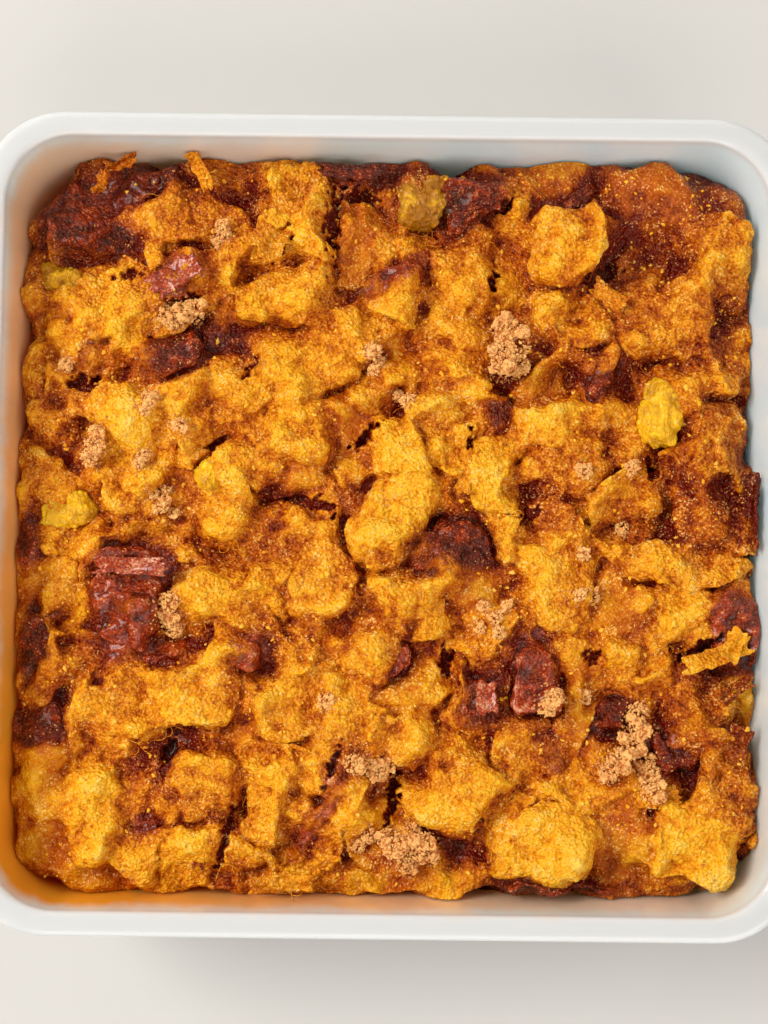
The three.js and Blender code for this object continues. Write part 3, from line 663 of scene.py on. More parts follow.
def dish_profile():
    """Half widths and heights, from the underside out, up and back to the middle of the floor."""
    wall_foot = (FOOT_BEND_HALF, FOOT_BEND_TOP)
    lip_foot = (WALL_OUT_HALF, LIP_LOW - RIM_EDGE)
    top = (RIM_HALF - RIM_EDGE, DISH_HEIGHT)
    mouth = (MOUTH_HALF + RIM_EDGE, DISH_HEIGHT)
    floor_bend = (FLOOR_BEND_HALF, FLOOR_BEND_TOP)
    return [
        (FOOT_HALF, 0),
        *bend((FOOT_HALF, 0), (FOOT_BEND_HALF - 1, 0), wall_foot),
        lip_foot,
        *bend(lip_foot, (WALL_OUT_HALF, LIP_LOW), (RIM_HALF, LIP_LOW + RIM_EDGE)),
        (RIM_HALF, DISH_HEIGHT - RIM_EDGE),
        *bend((RIM_HALF, DISH_HEIGHT - RIM_EDGE), (RIM_HALF, DISH_HEIGHT), top),
        mouth,
        *bend(mouth, (MOUTH_HALF, DISH_HEIGHT), (MOUTH_HALF, MOUTH_HEIGHT)),
        floor_bend,
        *bend(floor_bend, (FLOOR_BEND_HALF, FLOOR), (FLOOR_HALF, FLOOR)),
    ]


def corner_radius(half):
    return max(1.0, CORNER_RADIUS - (RIM_HALF - half) * CORNER_SHRINK)


def rounded_ring(number, half, height, radius):
    """A square outline with round corners, lying flat, numbered for bridging."""
    bpy.ops.mesh.primitive_plane_add(size=2 * half * MM, location=(0, 0, height * MM))
    ring = bpy.context.object
    with editing(ring):
        bpy.ops.mesh.bevel(offset=radius * MM, segments=CORNER_STEPS, affect="VERTICES")
        bpy.ops.mesh.delete(type="ONLY_FACE")
    tag = ring.data.attributes.new("ring", "INT", "POINT")
    tag.data.foreach_set("value", np.full(len(ring.data.vertices), number, np.int32))
    return ring


def select_rings(shell, numbers):
    """Selects the rings of a shell that have those numbers."""
    tags = read_all(shell.data.attributes["ring"].data, "value", np.int32)
    ends = tags[read_all(shell.data.edges, "vertices", np.int32, 2)]
    chosen = (ends[:, 0] == ends[:, 1]) & np.isin(ends[:, 0], numbers)
    choose_parts(shell.data, points=np.isin(tags, numbers), edges=chosen)


def bridged(name, profile, radius_at):
    """A closed shell through rounded squares of a profile's half widths and heights, filled at its ends."""
    rings = [rounded_ring(i, half, height, radius_at(half)) for i, (half, height) in enumerate(profile)]
    shell = join(name, rings)
    with editing(shell):
        bpy.ops.mesh.select_mode(type="EDGE")
    for number in range(len(profile) - 1):
        select_rings(shell, [number, number + 1])
        with editing(shell):
            bpy.ops.mesh.bridge_edge_loops()
    for end in (0, len(profile) - 1):
        select_rings(shell, [end])
        with editing(shell):
            bpy.ops.mesh.edge_face_add()
    with editing(shell):
        bpy.ops.mesh.select_all(action="SELECT")
        bpy.ops.mesh.normals_make_consistent(inside=False)
    shell.data.attributes.remove(shell.data.attributes["ring"])
    return shell


def torn_block(seed, unevenness, roundness):
    """A unit block of torn bread, soft at its edges and uneven all round."""
    bpy.ops.mesh.primitive_cube_add(size=1)
    block = bpy.context.object
    with editing(block):
        bpy.ops.mesh.subdivide(number_cuts=2)
        bpy.ops.transform.tosphere(value=roundness)
        bpy.ops.transform.vertex_random(offset=unevenness, uniform=1.0, normal=0.0, seed=seed)
    apply_modifier(block, "SUBSURF", levels=2, render_levels=2)
    return block


def placing(row, depth):
    """Where a unit shape goes for its row: its size, its turn, its lean, and its top's height."""
    x, y, length, width, turn, top, lean_x, lean_y = row
    lean = Euler((-math.radians(lean_y), math.radians(lean_x), 0), "ZYX").to_matrix()
    turned = lean @ Matrix.Rotation(math.radians(turn), 3, "Z")
    size = Vector((length, width, depth)) * MM
    place = Vector((x, y, top - depth / 2)) * MM
    return Matrix.LocRotScale(place, turned.to_quaternion(), size)


def heap(name, rows, shapes):
    copies = [copy_of(shapes[i % len(shapes)], placing(row, PIECE_DEPTH)) for i, row in enumerate(rows)]
    return join(name, copies)


def bread_rows(scraps):
    """The rows of all that is fused, and what each is like, with the bare mass last."""
    draw = random.Random(SEEDS["kinds"])
    rows, values = [], []
    for group, like in BREAD_LIKE.items():
        for row in BREAD_TABLES[group]:
            rows.append(row)
            own = [value + draw.uniform(-0.2, 0.2) * loose for value, loose in zip(like, LOOSE)]
            values.append([max(0, value) for value in own])
    for row in scraps:
        rows.append(row)
        values.append([draw.uniform(0, most) for most in SCRAPS_LIKE] + [0, 0])
    values.append(BARE_MASS)
    return rows, np.array(values)


def squares_of(points, side):
    """The numbers of the points in each square of the plan that has any."""
    cells = np.floor(points[:, :2] / side).astype(int)
    _, numbers = np.unique(cells @ (1, 1000), return_inverse=True)
    order = np.argsort(numbers, kind="stable")
    return np.split(order, np.flatnonzero(np.diff(numbers[order])) + 1)


def nearest_pieces(points, rows, values, leads, softness=1.0 * MM, side=10 * MM, farthest=30 * MM):
    """For each point, the pieces' values blended by how near each is, the number of the nearest, and how far
    out on it the point is, from 0 in its middle to 1 at its edge. A piece with a lead counts as nearer."""
    places = [placing(row, PIECE_DEPTH) for row in rows]
    middles = np.array([place.translation for place in places])
    turns = np.array([place.to_quaternion().to_matrix() for place in places])
    halves = np.array([place.to_scale() for place in places]) / 2
    blended = np.empty((len(points), values.shape[1]))
    nearest = np.empty(len(points), int)
    edge = np.empty(len(points))
    for square in squares_of(points, side):
        part = points[square]
        near = np.flatnonzero(np.hypot(*(middles - part.mean(0))[:, :2].T) < farthest)
        local = np.einsum("npi,pij->npj", part[:, None, :] - middles[near], turns[near]) / halves[near]
        reach = ((local ** 4).sum(2) ** 0.25 - 1) * halves[near].min(1) - leads[near]
        mass = np.maximum(part[:, 2:3] - MASS_TOP * MM, 0.2 * MM)
        best = reach.argmin(1)
        nearest[square] = near[best]
        edge[square] = np.abs(local[np.arange(len(part)), best, :2]).max(1)
        reach = np.concatenate([reach, mass], 1)
        share = np.exp(-(reach - reach.min(1, keepdims=True)) / softness)
        blended[square] = share @ values[[*near, -1]] / share.sum(1, keepdims=True)
    return blended, nearest, edge


def box_blur(grid, radius, times=3):
    """A grid blurred by running means, which together are close to a bell curve."""
    width = 2 * radius + 1
    for _ in range(times):
        for axis in (0, 1):
            margins = [(radius + 1, radius) if side == axis else (0, 0) for side in (0, 1)]
            padded = np.pad(grid, margins, mode="edge")
            total = padded.cumsum(axis)
            high = np.take(total, np.arange(width, padded.shape[axis]), axis)
            low = np.take(total, np.arange(0, padded.shape[axis] - width), axis)
            grid = (high - low) / width
    return grid


class Relief:
    """The height of the food's upper surface on a square grid."""
    CELL = 1.0 * MM
    HALF = 104 * MM

    def __init__(self, points):
        count = int(2 * self.HALF / self.CELL)
        self.grid = np.full((count, count), CUT_HEIGHT * MM)
        rows, columns = self.cell(points)
        np.maximum.at(self.grid, (rows, columns), points[:, 2])

    def cell(self, points):
        index = ((points[:, :2] + self.HALF) / self.CELL).astype(int)
        index = np.clip(index, 0, len(self.grid) - 1)
        return index[:, 0], index[:, 1]

    def hollow(self, points, radius):
        """How far each point lies below the mean height round it."""
        mean = box_blur(self.grid, int(radius / self.CELL))
        rows, columns = self.cell(points)
        return mean[rows, columns] - points[:, 2]


def mark_standing(obj, name, rounds, height):
    """Marks how far each point of a mesh stands out of the surface smoothed round it, as a share of a
    height in millimetres."""
    rounded = copy_of(obj, Matrix.Identity(4))
    smooth(rounded, rounds)
    offset = points_of(obj) - points_of(rounded)
    out = (offset * read_all(rounded.data.vertices, "normal", width=3)).sum(1)
    remove(rounded)
    add_attribute(obj, name, out / (height * MM))


def pitted(points):
    """Sinks an upper surface into the holes and cracks, which wander and fray at their edges. Also says how
    far inside one each point is."""
    sunk = points.copy()
    inside = np.zeros(len(points))
    fray = PIT_FRAY * MM
    for x, y, length, width, turn, depth in PITS:
        local = (points[:, :2] / MM - (x, y)) @ np.array(Matrix.Rotation(math.radians(turn), 2))
        near = np.flatnonzero(np.abs(local).max(1) < length / 2 + 3)
        wander = np.array([noise.fractal(point / fray, 0.6, 2.0, 2) for point in map(Vector, points[near])])
        away = np.hypot(*(local[near] / (length / 2, width / 2)).T) + PIT_RAGGEDNESS * wander
        share = np.clip(PIT_REACH - away, 0, 1)
        sunk[near, 2] -= PIT_SHARE * depth * MM * share * share * (3 - 2 * share)
        inside[near] = np.maximum(inside[near], share)
    return np.maximum(sunk, [-1, -1, (CUT_HEIGHT + 0.2) * MM]), inside


def keep_in_dish(points):
    """Moves what would be in the wall back inside it."""
    heights = points[:, 2] / MM
    slope = (MOUTH_HALF - FLOOR_BEND_HALF) / (MOUTH_HEIGHT - FLOOR_BEND_TOP)
    half = FLOOR_BEND_HALF + slope * (heights - FLOOR_BEND_TOP)
    radius = CORNER_RADIUS - (RIM_HALF - half) * CORNER_SHRINK
    flat = points[:, :2] / MM
    beyond = np.abs(flat) - (half - radius)[:, None]
    corner = (beyond > 0).all(1)
    reach = np.where(corner, np.hypot(*np.maximum(beyond, 0).T), beyond.max(1))
    excess = np.maximum(reach - radius + WALL_GAP, 0)
    outward = np.where(corner[:, None], np.maximum(beyond, 0), beyond >= beyond.max(1, keepdims=True))
    outward = outward / np.maximum(np.linalg.norm(outward, axis=1, keepdims=True), 1e-9)
    moved = flat - np.sign(flat) * outward * excess[:, None]
    return np.column_stack([moved * MM, points[:, 2]])


def drop_loose(obj):
    """Removes every part of a mesh but the one with its highest point."""
    heights = points_of(obj)[:, 2]
    choose_parts(obj.data, points=np.arange(len(heights)) == heights.argmax())
    with editing(obj):
        bpy.ops.mesh.select_mode(type="VERT")
        bpy.ops.mesh.select_linked()
        bpy.ops.mesh.select_all(action="INVERT")
        bpy.ops.mesh.delete(type="VERT")


def cut_below(obj, height):
    """Takes off all that is below a height and leaves the rest open there."""
    with editing(obj):
        bpy.ops.mesh.select_all(action="SELECT")
        bpy.ops.mesh.bisect(plane_co=(0, 0, height * MM), plane_no=(0, 0, 1), clear_inner=True)


def close_downwards(obj, height):
    """Closes an open shell by drawing its edge straight down to a height and filling it there."""
    with editing(obj):
        bpy.ops.mesh.select_mode(type="EDGE")
        bpy.ops.mesh.select_all(action="DESELECT")
        bpy.ops.mesh.select_non_manifold(use_wire=False, use_multi_face=False, use_non_contiguous=False)
        bpy.ops.mesh.extrude_edges_move()
        bpy.ops.transform.resize(value=(1, 1, 0), center_override=(0, 0, height * MM))
        bpy.ops.mesh.fill()
        bpy.ops.mesh.select_all(action="SELECT")
        bpy.ops.mesh.remove_doubles(threshold=0.01 * MM)
        bpy.ops.mesh.normals_make_consistent(inside=False)


def split_off(obj, chosen):
    """Separates the chosen faces of a mesh as a new object."""
    choose_parts(obj.data, faces=chosen)
    before = set(bpy.data.objects)
    with editing(obj):
        bpy.ops.mesh.select_mode(type="FACE")
        bpy.ops.mesh.separate(type="SELECTED")
    return (set(bpy.data.objects) - before).pop()


def milk_glass(settings):
    """White glass with a brighter copy of its colour on the inside walls as painted light, a warm tint low on
    those walls that is strongest near the left corner, and small baked-on specks.
    """
    finish = Finish(
        "milk glass", Roughness=0.12, IOR=1.5, Subsurface_Weight=0.8, Subsurface_Scale=0.007,
        Subsurface_Radius=(1.0, 0.95, 0.85), Coat_Weight=0.3, Coat_Roughness=0.05,
    )
    across, along, height = (finish.axis(name) for name in "XYZ")
    inside = finish.attribute("inside")
    patches = finish.noise(0.014, 4, 0.6, 0.5)
    streaks = finish.noise(0.004, 3, 0.6, 0.3, finish.squeeze((1, 1, 0.3)))
    # A warm tint low on the inside walls, fading towards the rim and strongest towards the left and near
    # sides.
    warm_tint = finish.ramp(0.051 - height + patches * 0.008 + streaks * 0.003, 0.004, 0.015)
    warm_tint = warm_tint * (0.42 - across * 4.4 - along * 2.8) * inside
    specks = finish.ramp(finish.noise(0.0016, 2, 0.6), 0.72, 0.76) * finish.ramp(patches, 0.5, 0.62) * 0.7
    specks = specks * inside
    # Painted light: the inside walls below the rim take the brighter wall colour.
    wall = finish.ramp(0.0515 - height, 0.0, 0.004) * inside
    glass_and_tint = finish.mix(warm_tint, finish.mix(wall, settings.glass, settings.wall), settings.stain_and_tint)
    finish.set(Base_Color=finish.mix(specks, glass_and_tint, settings.stain_and_tint))
    return finish.material


def bread_finish(settings):
    """Crumb from pale to toasted with painted cream glints, darker in its hollows with syrup and painted
    shade, lighter as painted light where it stands out, and mottled glossy crusts with a painted pink sheen.
    """
    finish = Finish(
        "baked bread", IOR=1.45, Specular_IOR_Level=0.45, Specular_Tint=(1, 0.72, 0.46, 1),
        Coat_Roughness=0.14,
    )
    toast, soak, tone, crust, red = (finish.attribute(name) for name in BREAD_KINDS)
    hollow, dip, tip, edge = (finish.attribute(name) for name in ("hollow", "dip", "tip", "edge"))
    patches = finish.noise(0.012, 1, 0.6) - 0.5
    mottle = finish.noise(0.0032, 2, 0.75) - 0.5
    grit = finish.noise(0.0006, 1, 0.9) - 0.5
    granules = 0.45 - finish.cells(0.001)
    across, along = finish.axis("X"), finish.axis("Y")
    # Darker towards the far side, a browner bake, and towards the right in the far part, painted shade where
    # the light falls off away from the left.
    far = finish.ramp(along, -0.05, 0.03)
    browning_and_shade = finish.ramp(along, 0.06, 0.1) * 0.14 + finish.ramp(across, 0.03, 0.1) * far * 0.22
    # Painted light and shade: the crumb is lighter where it stands out (tip, dip), darker in hollows and
    # pits, partly syrup, and darker towards each piece's edge, partly toasting and partly painted shade
    # between pieces.
    speckle = (mottle * 0.75 + grit * 0.6 + granules * 0.2 + tip * 0.07) * (1 - soak * 0.6)
    light = 0.47 + tone * 0.2 - toast * 0.28 + patches * 0.42 + speckle - browning_and_shade - crust * 0.25
    light = light + dip * 0.09 - hollow * 0.12 - (edge - 0.6) * 0.2
    shades = [settings.syrup, settings.toasted, settings.orange, settings.golden, settings.pale]
    crumb = finish.shades(light, shades)
    soaked_shades = [settings.syrup, settings.toasted, settings.custard, settings.golden]
    soaked = finish.shades(light + mottle * 0.2, soaked_shades)
    body = finish.mix(soak, crumb, soaked)

    skin = finish.ramp(crust + mottle + grit * 0.5 + granules * 0.2 - tip * 0.04, 0.42, 0.7)
    # The crust shades run up to a pink that is partly the colour of pink crusts and partly painted sheen,
    # lighter where the crust stands out (tip, dip).
    baked = 0.245 + red * 0.28 + mottle * 1.3
    baked = baked + grit * 0.6 + granules * 0.2 + tip * 0.08 + dip * 0.16 + patches * 0.3
    baked_shades = [settings.char, settings.dark_crust, settings.red_crust, settings.pink_and_sheen]
    coloured = finish.mix(skin, body, finish.shades(baked, baked_shades))
    # Painted highlights: cream glints mixed into the base colour, most on the crumb and fewer on crusts,
    # partly pale specks of crumb and sugar.
    sparkle = grit * 1.2 + mottle * 0.7 + patches * 0.3 + granules * 0.2 + tip * 0.025
    glints = finish.ramp(sparkle, 0.16, 0.32) * (0.7 - skin * (0.4 + red * 0.2))
    finish.set(Base_Color=finish.mix(glints, coloured, settings.cream))
    wet = finish.ramp(hollow - dip * 0.6 + soak * 0.5 + patches * 0.6, 0.5, 1.4)
    finish.set(Roughness=0.3 - soak * 0.08 - skin * 0.12 - wet * 0.08 + grit * 0.3)
    finish.set(Coat_Weight=skin * (red * 0.4 + 0.15))
    finish.set(Normal=finish.bump(granules + grit * 0.6, 0.0009, 1 - soak * 0.5))
    return finish.material


def fruit_finish(settings):
    """Wet flesh with fibres, darker in patches and towards the far side of the dish."""
    finish = Finish(
        "soft fruit", IOR=1.4, Subsurface_Weight=0.4, Subsurface_Scale=0.003,
        Subsurface_Radius=(1.0, 0.6, 0.15), Specular_Tint=(1, 0.8, 0.5, 1), Coat_Weight=0.2,
        Coat_Roughness=0.12, Roughness=0.3,
    )
    fibres = finish.noise(0.0009, 3, 0.65, 0.4, finish.squeeze((1, 0.16, 1)))
    patches = finish.noise(0.006, 3, 0.6, 0.4)
    lit = tuple(min(1, 1.5 * value) for value in settings.fruit)
    deep = tuple(value * share for value, share in zip(settings.fruit, (0.5, 0.36, 0.15)))
    colour = finish.mix(finish.ramp(fibres, 0.36, 0.66), settings.fruit, lit)
    far = finish.ramp(finish.axis("Y"), 0.05, 0.08)
    shade = finish.ramp(patches + fibres * 0.3 + far * 0.25, 0.6, 0.95)
    finish.set(Base_Color=finish.mix(shade, colour, deep))
    finish.set(Normal=finish.bump(fibres, 0.0009))
    return finish.material


def sugar_finish(settings):
    """Dry sugar, darker where it is damp, with painted shade where it is deep and painted light where it
    stands out.
    """
    finish = Finish(
        "brown sugar", IOR=1.45, Roughness=0.5, Subsurface_Weight=0.2, Subsurface_Scale=0.0008,
        Subsurface_Radius=(1.0, 0.6, 0.3),
    )
    mottle = finish.noise(0.0022, 3, 0.7)
    fine = finish.noise(0.0005, 2, 0.6)
    deep = tuple(value * share for value, share in zip(settings.sugar, (0.5, 0.24, 0.08)))
    # Painted light and shade: lighter where the sugar stands out (tip), darker in its recesses.
    bright = mottle + fine * 0.6 + finish.attribute("tip") * 0.12
    finish.set(Base_Color=finish.mix(finish.ramp(bright, 0.62, 0.98), deep, settings.sugar))
    finish.set(Normal=finish.bump(fine, 0.0005))
    return finish.material


def crumb_finish(settings):
    """Dry loose crumbs, each of its own shade."""
    finish = Finish("loose crumbs", Roughness=0.5, Specular_IOR_Level=0.3)
    shades = [settings.toasted, settings.orange, settings.golden, settings.pale]
    shade = finish.attribute("tone") + finish.noise(0.0008, 2, 0.6) * 0.4 - 0.1
    finish.set(Base_Color=finish.shades(shade, shades))
    finish.set(Normal=finish.bump(finish.noise(0.0004, 1, 0.5), 0.0004, 0.8))
    return finish.material


def surface_under(x, y):
    """The point, in millimetres, and the normal of the food's top at a place, and whether it is crust."""
    depsgraph = bpy.context.evaluated_depsgraph_get()
    hit, point, normal, face, obj, _ = bpy.context.scene.ray_cast(
        depsgraph, (x * MM, y * MM, 2 * DISH_HEIGHT * MM), (0, 0, -1)
    )
    if not hit:
        return None, None, False
    crust = obj.data.attributes.get("crust")
    corner = obj.data.polygons[face].vertices[0]
    return point / MM, normal, bool(crust) and crust.data[corner].value > CRUST_LIMIT


class PUDDING_OT_dish(bpy.types.Operator):
    """Makes the milk-glass dish"""
    bl_idname = "pudding.dish"
    bl_label = "Dish"

    def execute(self, context):
        dish = bridged("milk_glass_dish", dish_profile(), corner_radius)
        points = points_of(dish) / MM
        normals = read_all(dish.data.vertices, "normal", width=3)
        faces_in = (normals * points)[:, :2].sum(1) < 1
        inside = (points[:, 2] > FLOOR - 0.1) & (np.abs(points[:, :2]).max(1) < MOUTH_HALF + RIM_EDGE)
        add_attribute(dish, "inside", inside & faces_in)
        shade_smooth(dish, 35)
        dress(dish, milk_glass(context.scene.pudding_dish), "milk_glass", "dish")
        return {"FINISHED"}


def scrap_rows(count):
    """Small scraps of bread, strewn over the mass between the pieces."""
    draw = random.Random(SEEDS["scraps"])
    rows = []
    while len(rows) < count:
        x, y = draw.uniform(-SCRAPS_HALF, SCRAPS_HALF), draw.uniform(-SCRAPS_HALF, SCRAPS_HALF)
        beyond = [max(abs(place) - SCRAPS_STRAIGHT, 0) for place in (x, y)]
        if math.hypot(*beyond) > SCRAPS_HALF - SCRAPS_STRAIGHT:
            continue
        top = MASS_TOP + draw.uniform(*SCRAPS_RISE)
        lean = [draw.uniform(-SCRAPS_LEAN, SCRAPS_LEAN) for _ in range(2)]
        size = [draw.uniform(*SCRAPS_LENGTH), draw.uniform(*SCRAPS_WIDTH)]
        rows.append((x, y, *size, draw.uniform(0, 180), top, *lean))
    return rows


class PUDDING_OT_bread(bpy.types.Operator):
    """Makes the fused bread, crusts and custard"""
    bl_idname = "pudding.bread"
    bl_label = "Bread"

    def execute(self, context):
        settings = context.scene.pudding_bread
        scraps = scrap_rows(settings.scraps)
        rows, values = bread_rows(scraps)
        bread = self.fused(rows, settings)
        leads = values[:-1, 3] * CRUST_LEAD * MM
        blended, nearest, edge = nearest_pieces(points_of(bread), rows, values, leads)
        for name, column in zip(BREAD_KINDS, blended.T):
            add_attribute(bread, name, column)
        plain = 1 - 0.7 * blended[:, 1] - 0.8 * blended[:, 3]
        add_group(bread, "crumb", plain)
        add_group(bread, "crust", blended[:, 3])
        self.roughened(bread, settings)
        top = points_of(bread)[:, 2] > (CUT_HEIGHT + 1) * MM
        sunk, pits = pitted(points_of(bread))
        set_points(bread, keep_in_dish(np.where(top[:, None], sunk, points_of(bread))))
        points = points_of(bread)
        hollow = Relief(points).hollow(points, HOLLOW_REACH * MM) / (HOLLOW_DEPTH * MM)
        # Painted shade: the pits count as deep hollows, which the finish darkens.
        add_attribute(bread, "hollow", hollow + PIT_WEIGHT * pits)
        mark_standing(bread, "dip", **DIP)
        mark_standing(bread, "tip", **TIP)
        add_attribute(bread, "edge", edge)
        bread.vertex_groups.clear()
        self.divide(bread, np.array(rows)[nearest, :2], bread_finish(settings))
        return {"FINISHED"}

    def fused(self, rows, settings):
        """The pieces and the mass they lie in, as one skin, open below."""
        shapes = [torn_block(seed, **BREAD_BLOCK) for seed in range(1, BREAD_SHAPES + 1)]
        top = MASS_TOP + 2
        profile = [(SKIN_HALF - 1.5, CUT_HEIGHT - 3), (SKIN_HALF, top - 3), (SKIN_HALF - 1.5, top)]
        mass = bridged("mass", profile, lambda half: SKIN_CORNER)
        first_crust = len(rows) - settings.scraps - CRUST_COUNT
        grown = []
        for number, (x, y, length, width, *rest) in enumerate(rows):
            growth = 0 if 0 <= number - first_crust < CRUST_COUNT else GROWTH
            grown.append((x, y, length + growth, width + growth, *rest))
        bread = join("bread", [heap("pieces", grown, shapes), mass])
        remove(*shapes)
        apply_modifier(bread, "REMESH", mode="VOXEL", voxel_size=settings.voxel)
        drop_loose(bread)
        cut_below(bread, CUT_HEIGHT)
        smooth(bread, 10)
        return bread

    def roughened(self, bread, settings):
        warp = {"direction": "RGB_TO_XYZ", "cloud_type": "COLOR"}
        roughen(bread, "tear", 11 * MM, 8 * MM, noise_depth=0, **warp)
        roughen(bread, "rip", 4.5 * MM, 1.8 * MM, noise_depth=1, **warp)
        roughen(bread, "swell", 7 * MM, settings.swell, noise_depth=1)
        roughen(bread, "lump", 4.5 * MM, -settings.lump, "VORONOI", group="crumb")
        roughen(bread, "crag", 3.2 * MM, settings.crag, group="crumb", noise_depth=3)
        roughen(bread, "blister", 4 * MM, 1.4 * MM, group="crust")
        smooth(bread, 9)
        roughen(bread, "pebble", 1.7 * MM, -settings.pebble, "VORONOI", group="crumb")
        roughen(bread, "grain", 0.9 * MM, settings.grain, group="crumb", noise_depth=1)
        roughen(bread, "wrinkle", 1.5 * MM, 0.5 * MM, group="crust", noise_depth=2)

    def divide(self, bread, middles, material):
        """Parts the skin along the gaps between pieces and closes each part downwards."""
        columns = np.digitize(middles[:, 0], SEAMS)
        area = columns * 2 + (middles[:, 1] > 0)
        corners = read_all(bread.data.loops, "vertex_index", np.int32)
        face_area = area[corners[read_all(bread.data.polygons, "loop_start", np.int32)]]
        names = [f"{end}_{side}_bread" for side in ("left", "middle", "right") for end in ("near", "far")]
        for number, name in enumerate(names[:-1]):
            part = split_off(bread, face_area == number)
            face_area = face_area[face_area != number]
            part.name = part.data.name = name
        bread.name = bread.data.name = names[-1]
        for name in names:
            part = bpy.data.objects[name]
            close_downwards(part, CUT_HEIGHT - 1)
            shade_smooth(part)
            dress(part, material, "baked_bread", "pudding")


class PUDDING_OT_core(bpy.types.Operator):
    """Makes the custard-soaked bread under the top"""
    bl_idname = "pudding.core"
    bl_label = "Core"

    def execute(self, context):
        profile = [
            (FLOOR_HALF - 1, FLOOR + WALL_GAP), (FLOOR_BEND_HALF - 3, FLOOR + 3),
            (FLOOR_BEND_HALF - 1, FLOOR_BEND_TOP), (MASS_HALF - 1, CUT_HEIGHT - 4),
            (MASS_HALF - 1.5, CUT_HEIGHT),
        ]
        core = bridged("custard_core", profile, lambda half: MASS_CORNER - (MASS_HALF - half))
        shade_smooth(core, 40)
        settings = context.scene.pudding_bread
        finish = Finish("soaked core", Roughness=0.35, Coat_Weight=0.3)
        patches = finish.noise(0.009, 4, 0.65, 0.5)
        finish.set(Base_Color=finish.mix(finish.ramp(patches, 0.4, 0.65), settings.toasted, settings.custard))
        finish.set(Normal=finish.bump(finish.noise(0.002, 3, 0.6), 0.001))
        dress(core, finish.material, "baked_bread", "pudding")
        return {"FINISHED"}


class PUDDING_OT_fruit(bpy.types.Operator):
    """Makes the pieces of yellow fruit"""
    bl_idname = "pudding.fruit"
    bl_label = "Fruit"

    def execute(self, context):
        material = fruit_finish(context.scene.pudding_topping)
        for number, row in enumerate(FRUIT, 1):
            chunk = torn_block(SEEDS["fruit"] + number, **FRUIT_BLOCK)
            piece = join(f"yellow_fruit_{number}", [copy_of(chunk, placing(row, FRUIT_DEPTH))])
            remove(chunk)
            apply_modifier(piece, "SUBSURF", levels=2, render_levels=2)
            roughen(piece, "flesh", 4 * MM, 3.2 * MM)
            roughen(piece, "fibre", 5 * MM, 0.7 * MM, "WOOD", wood_type="BANDNOISE", turbulence=6)
            roughen(piece, "pulp", 1.2 * MM, 0.9 * MM, noise_depth=1)
            set_points(piece, keep_in_dish(points_of(piece)))
            shade_smooth(piece)
            dress(piece, material, "soft_fruit", f"fruit_{number}")
        return {"FINISHED"}


def grain_shapes():
    """A few rough grains, each of 20 faces."""
    shapes = []
    for seed in range(1, 6):
        bpy.ops.mesh.primitive_ico_sphere_add(subdivisions=1, radius=1)
        shapes.append(bpy.context.object)
        with editing(shapes[-1]):
            bpy.ops.transform.vertex_random(offset=0.42, uniform=1.0, normal=0.0, seed=seed)
            bpy.ops.transform.resize(value=(1.25, 0.9, 0.8))
    return shapes


def scattered(name, shapes, places):
    """Copies of a few shapes, each with a point, a size and a turn, as one mesh."""
    corners, faces, total = [], [], 0
    base = [
        (points_of(shape), read_all(shape.data.loops, "vertex_index", np.int32).reshape(-1, 3))
        for shape in shapes
    ]
    for i, (point, size, turn) in enumerate(places):
        points, triangles = base[i % len(base)]
        matrix = np.array(turn.to_matrix()) * size
        corners.append(points @ matrix.T + np.array(point))
        faces.append(triangles + total)
        total += len(points)
    return new_object(name, np.concatenate(corners), np.concatenate(faces))


def random_turn(draw):
    return Euler([draw.uniform(0, math.tau) for _ in range(3)]).to_quaternion()


def strewn(draw, count, sizes, patch, bareness, on_crust):
    """Places on the food's top, gathered in patches of that size in millimetres, with bare stretches
    between, and with only that share of those that fall on crusts."""
    places = []
    low, high = sizes
    while len(places) < count:
        x, y = draw.uniform(-STREWN_HALF, STREWN_HALF), draw.uniform(-STREWN_HALF, STREWN_HALF)
        here = noise.noise(Vector((x, y, 3 * patch)) / patch)
        if here + draw.gauss(0, 0.15) < bareness:
            continue
        point, normal, crust = surface_under(x, y)
        if point is None or not STREWN_LOW < point.z < STREWN_TOP or normal.z < 0.3:
            continue
        if crust and draw.random() > on_crust:
            continue
        size = low + (high - low) * draw.random() ** 2
        places.append(((point - normal * size * SUNK_SHARE) * MM, size * MM, random_turn(draw)))
    return places


def like_bread(obj, kinds):
    """Marks every point of a mesh as bread of one kind."""
    count = len(obj.data.vertices)
    for name, value in zip(BREAD_KINDS, kinds):
        add_attribute(obj, name, np.full(count, value))
    add_attribute(obj, "edge", np.full(count, 0.6))


